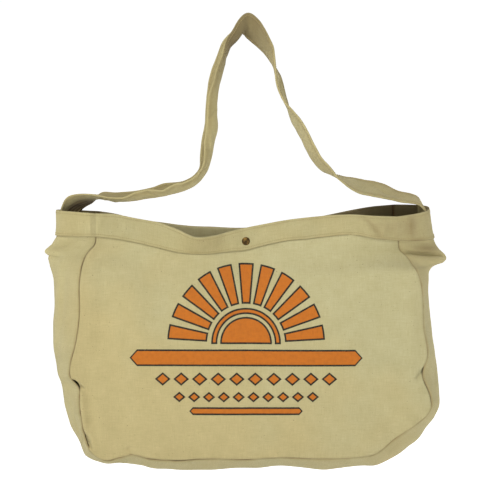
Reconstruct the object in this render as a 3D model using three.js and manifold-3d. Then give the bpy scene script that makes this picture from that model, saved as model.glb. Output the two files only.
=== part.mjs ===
// A newspaper delivery bag of heavy cotton canvas, hung up by its shoulder strap.
//
// Two panels are joined by one long gusset strip that runs down one end, along the bottom and up the
// other end. A hem band is sewn round the outside of the mouth, a wide strap is sewn inside the two
// ends of the mouth, and one brass snap holds the mouth shut in the middle.
//
// Millimetres. X runs along the bag, the front faces -Y and Z points up. The origin is the underside
// of the strap at its highest point, where a hook carries it.

import * as THREE from 'three';
import { mergeVertices } from 'three/addons/utils/BufferGeometryUtils.js';
import Module from 'manifold-3d';

const bagWidth = 610; // from one folded end of the mouth to the other
const bagHeight = 405; // from the ends of the mouth down to the bottom seam
const gussetWidth = 144; // the strip between the two panels, from seam to seam
const gussetEase = 0.9; // share of the strip's width that is left once it has puckered
const canvasCloth = 1.4; // wall of the panels and the gusset
const panelCrown = 15; // how far a panel bellies out beyond its seams
const hemHeight = 39; // band round the mouth
const hemCloth = 1.8; // the band is cloth turned over on itself
const hemEdgeStand = 0.6; // how far the band's lower edge stands off the canvas below it
const strapDrop = 302; // from the hook down to the ends of the mouth
const strapWidth = 48;
const strapCloth = 3; // the strap is canvas folded into layers
const strapSewn = 34; // how far a strap end runs down inside the hem
const clearance = 0.3; // between two pieces that touch

const snapPlace = 0.6; // share of the hem's height below the rim
const capRadius = 7;
const capHeight = 2.4;
const postRadius = 1.9;
const socketRadius = 5.6;
const knobRadius = 2.9;
const backCapRadius = 6.5;
const backCapHeight = 1.2;

const halfWidth = bagWidth / 2;
const gussetHalf = gussetWidth / 2;
const seamInset = clearance / 2 + 0.75 * canvasCloth; // keeps two cloth edges apart at a seam
const bandOffset = canvasCloth / 2 + clearance + hemCloth / 2; // band's middle outside the canvas
const strapOffset = canvasCloth / 2 + 2 * clearance + strapCloth / 2; // strap's middle inside the canvas

const bandRows = 2;
const panelRows = 16;
const panelColumns = 26;
const strapSteps = 62;
const strapSegments = 8;
const snapSegments = 20;

// The mouth, from the left seam to the right one. `across` is a share of half the bag's width, the
// drops are shares of the hem's height below the ends of the mouth, and the depths (how far the rim
// and the hem's lower edge stand before or behind the middle plane) are shares of half the gusset.
// Left of the snap the front rim sags and gapes, and right of it the back rim stands up.
const mouthRows = [
  { across: -0.802, rimF: 0.12, hemF: 1.1, foreR: 0.39, foreH: 0.39, rimB: 0.08, hemB: 1.05, aftR: 0.39, aftH: 0.39 },
  { across: -0.698, rimF: 0.18, hemF: 1.21, foreR: 0.22, foreH: 0.27, rimB: 0.2, hemB: 1.2, aftR: 0.14, aftH: 0.25 },
  { across: -0.597, rimF: 0.35, hemF: 1.37, foreR: 0.11, foreH: 0.23, rimB: 0.4, hemB: 1.4, aftR: 0.04, aftH: 0.18 },
  { across: -0.458, rimF: 0.56, hemF: 1.63, foreR: 0.1, foreH: 0.2, rimB: 0.54, hemB: 1.56, aftR: 0.03, aftH: 0.14 },
  { across: -0.362, rimF: 0.81, hemF: 1.77, foreR: 0.32, foreH: 0.18, rimB: 0.64, hemB: 1.66, aftR: 0.03, aftH: 0.12 },
  { across: -0.272, rimF: 1.1, hemF: 1.82, foreR: 0.46, foreH: 0.16, rimB: 0.7, hemB: 1.7, aftR: 0.04, aftH: 0.11 },
  { across: -0.181, rimF: 1.06, hemF: 1.8, foreR: 0.42, foreH: 0.13, rimB: 0.72, hemB: 1.71, aftR: 0.04, aftH: 0.1 },
  { across: -0.085, rimF: 0.89, hemF: 1.74, foreR: 0.16, foreH: 0.1, rimB: 0.76, hemB: 1.7, aftR: 0.04, aftH: 0.09 },
  { across: 0, rimF: 0.75, hemF: 1.7, foreR: 0.05, foreH: 0.08, rimB: 0.76, hemB: 1.68, aftR: 0.05, aftH: 0.08 },
  { across: 0.085, rimF: 0.62, hemF: 1.53, foreR: 0.07, foreH: 0.13, rimB: 0.7, hemB: 1.58, aftR: 0.06, aftH: 0.12 },
  { across: 0.208, rimF: 0.45, hemF: 1.32, foreR: 0.11, foreH: 0.27, rimB: 0.56, hemB: 1.45, aftR: 0.09, aftH: 0.22 },
  { across: 0.325, rimF: 0.33, hemF: 1.22, foreR: 0.17, foreH: 0.38, rimB: 0.42, hemB: 1.32, aftR: 0.16, aftH: 0.32 },
  { across: 0.448, rimF: 0.23, hemF: 1.1, foreR: 0.27, foreH: 0.46, rimB: 0.24, hemB: 1.2, aftR: 0.25, aftH: 0.42 },
  { across: 0.565, rimF: 0.19, hemF: 1.03, foreR: 0.38, foreH: 0.56, rimB: 0.06, hemB: 1.03, aftR: 0.4, aftH: 0.5 },
  { across: 0.688, rimF: 0.22, hemF: 1.17, foreR: 0.54, foreH: 0.55, rimB: -0.1, hemB: 0.9, aftR: 0.54, aftH: 0.55 },
  { across: 0.805, rimF: 0.24, hemF: 1.25, foreR: 0.61, foreH: 0.52, rimB: -0.18, hemB: 0.85, aftR: 0.61, aftH: 0.52 },
];

// The seam down each end. `down` is a share of the bag's height, `puff` is how far the gusset's middle
// stands out of the seams as a share of half the gusset, `blunt` is 1 for a sharp fold and 3 for a
// round one, `lift` and `rise` are how much higher the back seam and the gusset's middle stand, as
// shares of the hem's height.
const leftRows = [
  { down: 0.012, across: -0.802, puff: 0.9, blunt: 3, lift: 0.04, rise: 0.1 },
  { down: 0.106, across: -0.804, puff: 0.91, blunt: 2.6, lift: 0.04, rise: 0 },
  { down: 0.14, across: -0.813, puff: 0.93, blunt: 1.8, lift: 0, rise: 0 },
  { down: 0.177, across: -0.853, puff: 0.9, blunt: 1.6, lift: 0, rise: 0.08 },
  { down: 0.222, across: -0.876, puff: 0.76, blunt: 1.9, lift: 0, rise: 0 },
  { down: 0.281, across: -0.888, puff: 0.63, blunt: 2, lift: 0, rise: 0 },
  { down: 0.43, across: -0.89, puff: 0.62, blunt: 2, lift: 0, rise: 0 },
  { down: 0.54, across: -0.912, puff: 0.54, blunt: 2, lift: 0, rise: 0 },
  { down: 0.625, across: -0.938, puff: 0.36, blunt: 2, lift: 0, rise: 0 },
  { down: 0.665, across: -0.934, puff: 0.35, blunt: 2, lift: 0, rise: 0 },
  { down: 0.705, across: -0.893, puff: 0.45, blunt: 2, lift: 0, rise: 0 },
  { down: 0.78, across: -0.887, puff: 0.39, blunt: 2, lift: 0, rise: 0 },
  { down: 0.914, across: -0.853, puff: 0.25, blunt: 2, lift: 0, rise: 0 },
  { down: 0.96, across: -0.832, puff: 0.22, blunt: 2, lift: 0, rise: 0 },
];
const rightRows = [
  { down: 0.023, across: 0.805, puff: 0.735, blunt: 3, lift: 0.42, rise: 0.09 },
  { down: 0.12, across: 0.813, puff: 0.82, blunt: 2.6, lift: 0.4, rise: -0.13 },
  { down: 0.162, across: 0.826, puff: 0.91, blunt: 1.7, lift: 0.3, rise: -0.1 },
  { down: 0.188, across: 0.862, puff: 0.92, blunt: 1.5, lift: 0.22, rise: -0.1 },
  { down: 0.237, across: 0.906, puff: 0.42, blunt: 1.8, lift: 0.12, rise: 0 },
  { down: 0.295, across: 0.931, puff: 0.22, blunt: 2, lift: 0.04, rise: 0 },
  { down: 0.468, across: 0.946, puff: 0.21, blunt: 2, lift: 0, rise: 0 },
  { down: 0.575, across: 0.966, puff: 0.24, blunt: 2, lift: 0, rise: 0 },
  { down: 0.661, across: 0.941, puff: 0.4, blunt: 2, lift: 0, rise: 0 },
  { down: 0.741, across: 0.981, puff: 0.27, blunt: 2, lift: 0, rise: 0 },
  { down: 0.79, across: 0.984, puff: 0.25, blunt: 2, lift: 0, rise: 0 },
  { down: 0.827, across: 0.951, puff: 0.29, blunt: 2, lift: 0, rise: 0 },
];
const hemRow = 1; // the row of each end table at the hem's lower edge

// The seam along the bottom, from one rounded corner to the other, in the same shares.
const bottomRows = [
  { across: -0.832, down: 0.96, puff: 0.22, blunt: 2 },
  { across: -0.79, down: 0.99, puff: 0.18, blunt: 2 },
  { across: -0.745, down: 1.002, puff: 0.18, blunt: 2 },
  { across: -0.672, down: 0.991, puff: 0.22, blunt: 2 },
  { across: -0.597, down: 0.981, puff: 0.31, blunt: 2 },
  { across: -0.522, down: 0.994, puff: 0.31, blunt: 2 },
  { across: -0.375, down: 1.002, puff: 0.33, blunt: 2 },
  { across: -0.227, down: 0.996, puff: 0.37, blunt: 2 },
  { across: 0, down: 0.998, puff: 0.3, blunt: 2 },
  { across: 0.192, down: 0.991, puff: 0.31, blunt: 2 },
  { across: 0.42, down: 0.997, puff: 0.36, blunt: 2 },
  { across: 0.626, down: 0.988, puff: 0.31, blunt: 2 },
  { across: 0.69, down: 0.976, puff: 0.33, blunt: 2 },
  { across: 0.784, down: 0.92, puff: 0.4, blunt: 2 },
  { across: 0.872, down: 0.875, puff: 0.34, blunt: 2 },
  { across: 0.951, down: 0.827, puff: 0.29, blunt: 2 },
];

// The strap, from its left end over the hook to its right end. `across` is a share of half the bag's
// width, `up` of the strap's drop above the ends of the mouth, and `aft` of the strap's width behind
// the middle plane. `edgeX` and `edgeZ` say which way the front edge lies from the back edge, as parts
// of a unit direction, so a row with both near 0 is seen edge on. `cup` is how far the strap is curled
// along its length, in degrees: past the left corner it is folded in two like a gutter.
const strapRows = [
  { across: -0.92, up: 0.024, aft: 0.14, edgeX: -0.79, edgeZ: 0.19, cup: 30 },
  { across: -0.858, up: 0.055, aft: 0.15, edgeX: -0.51, edgeZ: 0.31, cup: 45 },
  { across: -0.789, up: 0.073, aft: 0.15, edgeX: -0.05, edgeZ: 0.12, cup: 120 },
  { across: -0.709, up: 0.066, aft: 0.12, edgeX: 0, edgeZ: -0.1, cup: 180 },
  { across: -0.624, up: 0.068, aft: 0.1, edgeX: 0.02, edgeZ: -0.12, cup: 185 },
  { across: -0.528, up: 0.082, aft: 0.08, edgeX: 0.02, edgeZ: -0.1, cup: 170 },
  { across: -0.432, up: 0.102, aft: 0.06, edgeX: 0.03, edgeZ: -0.12, cup: 180 },
  { across: -0.336, up: 0.123, aft: 0.04, edgeX: 0.04, edgeZ: -0.08, cup: 180 },
  { across: -0.267, up: 0.159, aft: 0.02, edgeX: 0.08, edgeZ: -0.06, cup: 185 },
  { across: -0.222, up: 0.213, aft: 0, edgeX: 0.12, edgeZ: -0.04, cup: 190 },
  { across: -0.208, up: 0.283, aft: -0.02, edgeX: 0.12, edgeZ: 0, cup: 190 },
  { across: -0.195, up: 0.359, aft: -0.04, edgeX: 0.08, edgeZ: 0, cup: 175 },
  { across: -0.181, up: 0.439, aft: -0.04, edgeX: 0.06, edgeZ: 0.02, cup: 165 },
  { across: -0.179, up: 0.526, aft: -0.04, edgeX: -0.08, edgeZ: 0.05, cup: 140 },
  { across: -0.178, up: 0.606, aft: -0.03, edgeX: -0.3, edgeZ: 0.1, cup: 80 },
  { across: -0.161, up: 0.685, aft: 0, edgeX: -0.36, edgeZ: 0.17, cup: 50 },
  { across: -0.137, up: 0.754, aft: 0, edgeX: -0.29, edgeZ: 0.29, cup: 40 },
  { across: -0.113, up: 0.826, aft: 0, edgeX: -0.19, edgeZ: 0.32, cup: 35 },
  { across: -0.086, up: 0.893, aft: 0, edgeX: -0.05, edgeZ: 0.42, cup: 25 },
  { across: -0.048, up: 0.958, aft: 0, edgeX: 0.05, edgeZ: 0.66, cup: 10 },
  { across: 0, up: 1, aft: 0, edgeX: 0.085, edgeZ: 0.86, cup: 0 },
  { across: 0.04, up: 0.968, aft: 0, edgeX: 0.25, edgeZ: 0.71, cup: 5 },
  { across: 0.087, up: 0.916, aft: 0, edgeX: 0.25, edgeZ: 0.57, cup: 10 },
  { across: 0.126, up: 0.854, aft: 0, edgeX: 0.18, edgeZ: 0.4, cup: 15 },
  { across: 0.149, up: 0.784, aft: 0, edgeX: 0.05, edgeZ: 0.1, cup: 20 },
  { across: 0.171, up: 0.703, aft: 0, edgeX: -0.16, edgeZ: -0.1, cup: 20 },
  { across: 0.208, up: 0.585, aft: 0, edgeX: -0.08, edgeZ: -0.04, cup: 20 },
  { across: 0.258, up: 0.493, aft: 0, edgeX: 0.22, edgeZ: 0.12, cup: 20 },
  { across: 0.309, up: 0.407, aft: 0.02, edgeX: 0.25, edgeZ: 0.12, cup: 20 },
  { across: 0.378, up: 0.267, aft: 0.04, edgeX: 0.29, edgeZ: 0.11, cup: 20 },
  { across: 0.424, up: 0.216, aft: 0.06, edgeX: 0.25, edgeZ: 0.12, cup: 20 },
  { across: 0.488, up: 0.174, aft: 0.08, edgeX: 0.02, edgeZ: -0.05, cup: 15 },
  { across: 0.554, up: 0.143, aft: 0.09, edgeX: -0.17, edgeZ: -0.28, cup: 8 },
  { across: 0.626, up: 0.116, aft: 0.1, edgeX: -0.2, edgeZ: -0.47, cup: 5 },
  { across: 0.714, up: 0.101, aft: 0.11, edgeX: -0.24, edgeZ: -0.42, cup: 8 },
  { across: 0.792, up: 0.073, aft: 0.12, edgeX: -0.25, edgeZ: -0.24, cup: 12 },
  { across: 0.856, up: 0.054, aft: 0.13, edgeX: -0.17, edgeZ: -0.26, cup: 15 },
  { across: 0.912, up: 0.038, aft: 0.13, edgeX: -0.1, edgeZ: -0.15, cup: 30 },
];

// Where each strap end is sewn: its middle's place round the gusset's inside, towards the back, as a
// share of the strap's width.
const leftSewnAt = 0.375;
const rightSewnAt = 0.2;

const { lerp, degToRad } = THREE.MathUtils;

/** Reads a table as smooth columns: at a place in its `by` column it gives all the others. */
function smoothColumns(rows, by) {
  const keys = Object.keys(rows[0]).filter((key) => key !== by);
  const places = rows.map((row) => row[by]);
  const values = rows.flatMap((row) => keys.map((key) => row[key]));
  const cubic = new THREE.CubicInterpolant(places, values, keys.length);
  return (place) => {
    const found = cubic.evaluate(place);
    return Object.fromEntries(keys.map((key, i) => [key, found[i]]));
  };
}

const mouthAt = smoothColumns(mouthRows, 'across');
const leftAt = smoothColumns(leftRows, 'down');
const rightAt = smoothColumns(rightRows, 'down');
const bottomAt = smoothColumns(bottomRows, 'across');

/** The height of a share of the bag's height below the ends of the mouth. */
const heightAt = (down) => -strapDrop - down * bagHeight;

// A stretch of gusset bulges away from this block inside the bag, so it turns smoothly at the corners.
const core = { left: -0.64 * halfWidth, right: 0.62 * halfWidth, bottom: heightAt(0.74) };

/** One cross-section of the gusset, from the front seam to the back seam. */
function gussetSection({ x, z, puff, blunt, lift = 0, rise = 0 }) {
  const depth = gussetHalf * gussetEase * Math.sqrt(1 - puff * puff);
  const nearX = THREE.MathUtils.clamp(x, core.left, core.right);
  const outward = new THREE.Vector3(x - nearX, 0, Math.min(0, z - core.bottom)).normalize();
  const front = new THREE.Vector3(x, -depth, z);
  const back = new THREE.Vector3(x, depth, z + lift * hemHeight);
  const bulge = puff * gussetHalf;
  /** `w` is -1 at the front seam, 0 at the middle of the strip and 1 at the back seam. */
  const at = (w) => {
    const swell = 1 - Math.abs(w) ** blunt;
    const point = new THREE.Vector3().lerpVectors(front, back, (w + 1) / 2);
    point.addScaledVector(outward, bulge * swell);
    point.z += rise * hemHeight * swell;
    return point;
  };
  return { front, back, at };
}

const ends = {
  left: { rows: leftRows, at: leftAt },
  right: { rows: rightRows, at: rightAt },
};

/** The gusset's section at one end: `drop` is -1 at the rim, 0 at the hem's edge, 1 at the corner. */
function endSection(side, drop) {
  const { rows, at } = ends[side];
  const hemDown = rows[hemRow].down;
  const reach = drop < 0 ? rows[0].down : rows[rows.length - 1].down;
  const down = lerp(hemDown, reach, Math.abs(drop));
  const row = at(down);
  return gussetSection({ ...row, x: row.across * halfWidth, z: heightAt(down) });
}

/** The gusset's section under the bag: `u` is 0 at the left corner and 1 at the right corner. */
function bottomSection(u) {
  const across = lerp(bottomRows[0].across, bottomRows[bottomRows.length - 1].across, u);
  const row = bottomAt(across);
  return gussetSection({ ...row, x: across * halfWidth, z: heightAt(row.down) });
}

/** A point of the hem's stretch of a panel: `k` is 0 at the rim and 1 at the hem's lower edge. */
function mouthPoint(face, u, k) {
  const left = endSection('left', k - 1)[face];
  const right = endSection('right', k - 1)[face];
  const tablePoint = (x) => {
    const m = mouthAt(x / halfWidth);
    const drop = face === 'front' ? lerp(m.rimF, m.hemF, k) : lerp(m.rimB, m.hemB, k);
    const y = face === 'front' ? -lerp(m.foreR, m.foreH, k) : lerp(m.aftR, m.aftH, k);
    return new THREE.Vector3(x, y * gussetHalf, -strapDrop - drop * hemHeight);
  };
  // Near a seam the table's curve is drawn onto the seam itself.
  const seamPull = 6;
  const point = tablePoint(lerp(left.x, right.x, u));
  point.addScaledVector(left.clone().sub(tablePoint(left.x)), (1 - u) ** seamPull);
  point.addScaledVector(right.clone().sub(tablePoint(right.x)), u ** seamPull);
  return point;
}

/** A point of a panel: `u` runs from the left seam to the right, `drop` as in endSection. */
function panelPoint(face, u, drop) {
  if (drop <= 0) return mouthPoint(face, u, drop + 1);
  const v = drop;
  const left = endSection('left', v)[face];
  const right = endSection('right', v)[face];
  const top = mouthPoint(face, u, 1);
  const bottom = bottomSection(u)[face];
  const corners = [mouthPoint(face, 0, 1), mouthPoint(face, 1, 1), bottomSection(0)[face], bottomSection(1)[face]];
  const blend = (axis) => {
    const [topLeft, topRight, bottomLeft, bottomRight] = corners.map((corner) => corner[axis]);
    const ruled = lerp(top[axis], bottom[axis], v) + lerp(left[axis], right[axis], u);
    return ruled - lerp(lerp(topLeft, topRight, u), lerp(bottomLeft, bottomRight, u), v);
  };
  // In depth the panel is a smooth belly. The seams and the mouth draw it in, and that dies away.
  const sign = face === 'front' ? -1 : 1;
  const bellyDepth = gussetHalf * gussetEase * 0.93;
  const seamReach = 4;
  const mouthReach = 2.2;
  const belly = sign * (bellyDepth + panelCrown * Math.sin(Math.PI * u) * Math.sin(Math.PI * v));
  const pull = (point) => point.y - sign * bellyDepth;
  const ofLeft = (1 - u) ** seamReach;
  const ofRight = u ** seamReach;
  const ofTop = (1 - v) ** mouthReach;
  const ofBottom = v ** seamReach;
  const y = belly
    + ofLeft * pull(left) + ofRight * pull(right) + ofTop * pull(top) + ofBottom * pull(bottom)
    - ofTop * (ofLeft * pull(corners[0]) + ofRight * pull(corners[1]))
    - ofBottom * (ofLeft * pull(corners[2]) + ofRight * pull(corners[3]));
  return new THREE.Vector3(blend('x'), y, blend('z'));
}

/** Evenly spaced places from `from` to `to`, both included. */
function places(from, to, steps) {
  return Array.from({ length: steps + 1 }, (_, i) => lerp(from, to, i / steps));
}

/** The face normal at each point of a grid, leaned so that an offset keeps the wall's thickness. */
function gridNormals(grid, looped) {
  const rows = grid.length;
  const columns = grid[0].length;
  const faceNormals = [];
  for (let i = 0; i < (looped ? rows : rows - 1); i += 1) {
    const next = grid[(i + 1) % rows];
    faceNormals.push(Array.from({ length: columns - 1 }, (_, j) => {
      const oneWay = next[j + 1].clone().sub(grid[i][j]);
      const otherWay = grid[i][j + 1].clone().sub(next[j]);
      return oneWay.cross(otherWay).normalize();
    }));
  }
  const mostLean = 1.7;
  return grid.map((row, i) => row.map((_, j) => {
    const before = looped ? (i + rows - 1) % rows : i - 1;
    const around = [[i, j], [i, j - 1], [before, j], [before, j - 1]]
      .map(([a, b]) => faceNormals[a]?.[b])
      .filter(Boolean);
    const normal = around.reduce((sum, one) => sum.add(one), new THREE.Vector3()).normalize();
    const tightest = Math.min(...around.map((one) => one.dot(normal)));
    return normal.multiplyScalar(Math.min(mostLean, 1 / Math.max(tightest, 0.1)));
  }));
}

/** Moves a grid of points along its normals. */
function offsetGrid(grid, distance, looped = false) {
  const normals = gridNormals(grid, looped);
  return grid.map((row, i) => row.map((point, j) => point.clone().addScaledVector(normals[i][j], distance)));
}

/** A closed sheet of cloth of one thickness, with the grid of points as its middle surface. */
function clothSheet(grid, thickness, looped = false) {
  const rows = grid.length;
  const columns = grid[0].length;
  const faces = [offsetGrid(grid, thickness / 2, looped), offsetGrid(grid, -thickness / 2, looped)];
  const positions = faces.flat(2).flatMap((point) => point.toArray());
  const outer = (i, j) => (i % rows) * columns + j;
  const inner = (i, j) => rows * columns + outer(i, j);
  const triangles = [];
  const quad = (a, b, c, d) => triangles.push(a, b, c, a, c, d);
  const steps = looped ? rows : rows - 1;
  for (let i = 0; i < steps; i += 1) {
    for (let j = 0; j < columns - 1; j += 1) {
      quad(outer(i, j), outer(i + 1, j), outer(i + 1, j + 1), outer(i, j + 1));
      quad(inner(i, j), inner(i, j + 1), inner(i + 1, j + 1), inner(i + 1, j));
    }
    const last = columns - 1;
    quad(outer(i, 0), inner(i, 0), inner(i + 1, 0), outer(i + 1, 0));
    quad(outer(i, last), outer(i + 1, last), inner(i + 1, last), inner(i, last));
  }
  for (let j = 0; j < columns - 1 && !looped; j += 1) {
    const last = rows - 1;
    quad(outer(0, j), outer(0, j + 1), inner(0, j + 1), inner(0, j));
    quad(outer(last, j), inner(last, j), inner(last, j + 1), outer(last, j + 1));
  }
  const geometry = new THREE.BufferGeometry();
  geometry.setAttribute('position', new THREE.Float32BufferAttribute(positions, 3));
  geometry.setIndex(triangles);
  return geometry;
}

/** Draws the points of one edge of a grid back along the cloth, to leave the seam's gap. */
function trimEdge(points, inward) {
  points.forEach((point, i) => {
    const along = inward[i].clone().sub(point).normalize();
    point.addScaledVector(along, seamInset);
  });
}

const wasm = await Module();
wasm.setup();

/** Cuts closed meshes out of a closed mesh. */
function cut(geometry, tools) {
  const asSolid = (source) => {
    const bare = source.clone();
    ['normal', 'uv'].forEach((name) => bare.deleteAttribute(name));
    const merged = mergeVertices(bare, 1e-4);
    return new wasm.Manifold(new wasm.Mesh({
      numProp: 3,
      vertProperties: new Float32Array(merged.attributes.position.array),
      triVerts: new Uint32Array(merged.index.array),
    }));
  };
  const mesh = tools.reduce((solid, tool) => solid.subtract(asSolid(tool)), asSolid(geometry)).getMesh();
  const result = new THREE.BufferGeometry();
  result.setAttribute('position', new THREE.Float32BufferAttribute(mesh.vertProperties, 3));
  result.setIndex(new THREE.Uint32BufferAttribute(mesh.triVerts, 1));
  return result;
}

const bandDrops = places(-1, 0, bandRows);
const panelDrops = [...bandDrops, ...places(0, 1, panelRows).slice(1)];
const columnPlaces = places(0, 1, panelColumns);
const gussetPlaces = [-1, -0.74, -0.45, -0.18, 0, 0.18, 0.45, 0.74, 1];

// The snap sits on the middle of the mouth, and its axis runs from front to back.
const snapColumn = -endSection('left', 0).front.x / (endSection('right', 0).front.x - endSection('left', 0).front.x);
const snapFront = panelPoint('front', snapColumn, snapPlace - 1);
const snapBack = panelPoint('back', snapColumn, snapPlace - 1);
const snapCentre = new THREE.Vector3(snapFront.x, 0, snapFront.z);
const outerFace = bandOffset + hemCloth / 2;
const capSeat = snapFront.y - outerFace;
const socketSeat = snapFront.y + canvasCloth / 2;
const studSeat = snapBack.y - canvasCloth / 2;
const backCapSeat = snapBack.y + outerFace;

/** A turned piece on the snap's axis: each profile point is a radius and a place along Y. */
function turned(profile) {
  const points = profile.map(([radius, y]) => new THREE.Vector2(radius, y));
  return new THREE.LatheGeometry(points, snapSegments).translate(snapCentre.x, 0, snapCentre.z);
}

/** The room that the snap needs in the cloth: flat seats inside and out, and the post's hole. */
function snapRoom() {
  const spare = 4;
  const flat = (radius, from, to) => turned([[0, from], [radius + clearance, from], [radius + clearance, to], [0, to]]);
  return [
    flat(capRadius, capSeat - spare, capSeat + clearance),
    flat(postRadius, capSeat, studSeat),
    flat(socketRadius, socketSeat - clearance, studSeat + clearance),
    flat(postRadius, studSeat, backCapSeat),
    flat(backCapRadius, backCapSeat - clearance, backCapSeat + spare),
  ];
}

function panel(face) {
  const acrossPlaces = face === 'front' ? columnPlaces : [...columnPlaces].reverse();
  const grid = acrossPlaces.map((u) => panelDrops.map((drop) => panelPoint(face, u, drop)).reverse());
  trimEdge(grid[0], grid[1]);
  trimEdge(grid.at(-1), grid.at(-2));
  trimEdge(grid.map((column) => column[0]), grid.map((column) => column[1]));
  return cut(clothSheet(grid, canvasCloth), snapRoom());
}

function gusset() {
  const down = panelDrops.map((drop) => endSection('left', drop));
  const under = columnPlaces.slice(1, -1).map((u) => bottomSection(u));
  const up = panelDrops.map((drop) => endSection('right', drop)).reverse();
  const grid = [...down, ...under, ...up].map((section) => gussetPlaces.map((w) => section.at(w)));
  trimEdge(grid.map((row) => row[0]), grid.map((row) => row[1]));
  trimEdge(grid.map((row) => row.at(-1)), grid.map((row) => row.at(-2)));
  return clothSheet(grid, canvasCloth);
}

/** The band goes once round the outside of the mouth: front, right end, back and left end. */
function mouthBand() {
  const between = gussetPlaces.slice(1, -1);
  const column = (pointAt) => bandDrops.map(pointAt).reverse();
  const grid = [
    ...columnPlaces.map((u) => column((drop) => panelPoint('front', u, drop))),
    ...between.map((w) => column((drop) => endSection('right', drop).at(w))),
    ...[...columnPlaces].reverse().map((u) => column((drop) => panelPoint('back', u, drop))),
    ...[...between].reverse().map((w) => column((drop) => endSection('left', drop).at(w))),
  ];
  const middle = offsetGrid(grid, bandOffset, true);
  const outward = offsetGrid(grid, bandOffset + hemEdgeStand, true);
  middle.forEach((column, i) => column[0].copy(outward[i][0]));
  return cut(clothSheet(middle, hemCloth, true), snapRoom());
}

/** The strap's middle line where it lies against the gusset's inside, at one height of the hem. */
function sewnRing(side, drop, sewnAt) {
  const section = endSection(side, drop);
  const corners = gussetPlaces.map((w) => section.at(w));
  const perSide = 24;
  const line = corners.slice(1).flatMap((corner, i) => (
    places(0, 1, perSide).slice(i === 0 ? 0 : 1).map((t) => corners[i].clone().lerp(corner, t))
  ));
  const lengths = [0];
  line.slice(1).forEach((point, i) => lengths.push(lengths[i] + point.distanceTo(line[i])));
  const middle = lengths[(line.length - 1) / 2];
  return places(-0.5, 0.5, strapSegments).map((share) => {
    const wanted = middle + (sewnAt - share) * strapWidth;
    const i = lengths.findIndex((length) => length >= wanted);
    const along = line[i + 1].clone().sub(line[i - 1]).normalize();
    const inward = new THREE.Vector3(-along.y, along.x, 0).normalize();
    if (side === 'left') inward.negate();
    return line[i].clone().addScaledVector(inward, strapOffset);
  });
}

/** The strap's end inside the hem, from its lowest ring up to the rim. */
function sewnEnd(side, sewnAt) {
  const rings = [...bandDrops].reverse().map((drop) => sewnRing(side, drop, sewnAt));
  const [lowest, above] = rings;
  const short = (1 - strapSewn / hemHeight) * bandRows;
  lowest.forEach((point, i) => point.lerp(above[i], short));
  return rings;
}

/** One cross-section of the strap in the air, from its back edge to its front edge. */
function hangingRing(row, centre, along) {
  const sideways = Math.sqrt(Math.max(0, 1 - row.edgeX ** 2 - row.edgeZ ** 2));
  const edge = new THREE.Vector3(row.edgeX, -sideways, row.edgeZ).normalize();
  const hollow = edge.clone().cross(along).normalize();
  const curl = degToRad(Math.max(row.cup, 1));
  const radius = strapWidth / curl;
  const depth = radius * (1 - Math.cos(curl / 2));
  return places(-0.5, 0.5, strapSegments).map((share) => {
    const angle = share * curl;
    const point = centre.clone().addScaledVector(edge, radius * Math.sin(angle));
    return point.addScaledVector(hollow, radius * (1 - Math.cos(angle)) - depth / 2);
  });
}

function strap() {
  const toPoint = ({ across, up, aft }) => new THREE.Vector3(
    across * halfWidth,
    aft * strapWidth,
    (up - 1) * strapDrop + strapCloth / 2,
  );
  const rowPoints = strapRows.map(toPoint);
  const lengths = [0];
  rowPoints.slice(1).forEach((point, i) => lengths.push(lengths[i] + point.distanceTo(rowPoints[i])));
  const rowAt = smoothColumns(strapRows.map((row, i) => ({ ...row, length: lengths[i] })), 'length');
  const whole = lengths.at(-1);
  const lookAhead = whole / strapSteps / 4;
  const inTheAir = places(0, whole, strapSteps).map((length) => {
    const before = toPoint(rowAt(Math.max(0, length - lookAhead)));
    const after = toPoint(rowAt(Math.min(whole, length + lookAhead)));
    const row = rowAt(length);
    return hangingRing(row, toPoint(row), after.sub(before).normalize());
  });
  const grid = [...sewnEnd('left', leftSewnAt), ...inTheAir, ...sewnEnd('right', rightSewnAt).reverse()];
  return clothSheet(grid, strapCloth);
}

/** The cap on the front: a rolled rim round a low dome, drawn down to a post. */
function snapCap() {
  const postEnd = socketSeat + 2 * clearance;
  const top = capSeat - capHeight;
  return turned([
    [0, top],
    [0.3 * capRadius, top + 0.12 * capHeight],
    [0.52 * capRadius, top + 0.5 * capHeight],
    [0.62 * capRadius, top + 0.42 * capHeight],
    [0.78 * capRadius, top + 0.16 * capHeight],
    [0.93 * capRadius, top + 0.3 * capHeight],
    [capRadius, top + 0.7 * capHeight],
    [0.97 * capRadius, capSeat],
    [postRadius, capSeat],
    [postRadius, postEnd],
    [0, postEnd],
  ]);
}

/** The socket behind the cap: a hollow ring that grips the knob. */
function snapSocket() {
  const face = lerp(socketSeat, studSeat, 0.55);
  const postRoom = postRadius + clearance;
  const knobRoom = knobRadius + clearance;
  const floor = socketSeat + 3 * clearance;
  return turned([
    [postRoom, socketSeat],
    [socketRadius, socketSeat],
    [socketRadius, lerp(socketSeat, face, 0.6)],
    [0.88 * socketRadius, face],
    [knobRoom, face],
    [knobRoom, floor],
    [postRoom, floor],
    [postRoom, socketSeat],
  ]);
}

/** The stud in the back of the mouth, with its knob in the socket and a flat cap outside. */
function snapStud() {
  const knobEnd = lerp(socketSeat, studSeat, 0.3);
  const base = lerp(socketSeat, studSeat, 0.66);
  return turned([
    [0, knobEnd],
    [0.8 * knobRadius, knobEnd],
    [knobRadius, lerp(knobEnd, base, 0.3)],
    [0.8 * knobRadius, lerp(knobEnd, base, 0.7)],
    [0.8 * knobRadius, base],
    [0.95 * socketRadius, base],
    [0.95 * socketRadius, studSeat],
    [postRadius, studSeat],
    [postRadius, backCapSeat],
    [backCapRadius, backCapSeat],
    [0.94 * backCapRadius, backCapSeat + backCapHeight],
    [0, backCapSeat + backCapHeight],
  ]);
}

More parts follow.
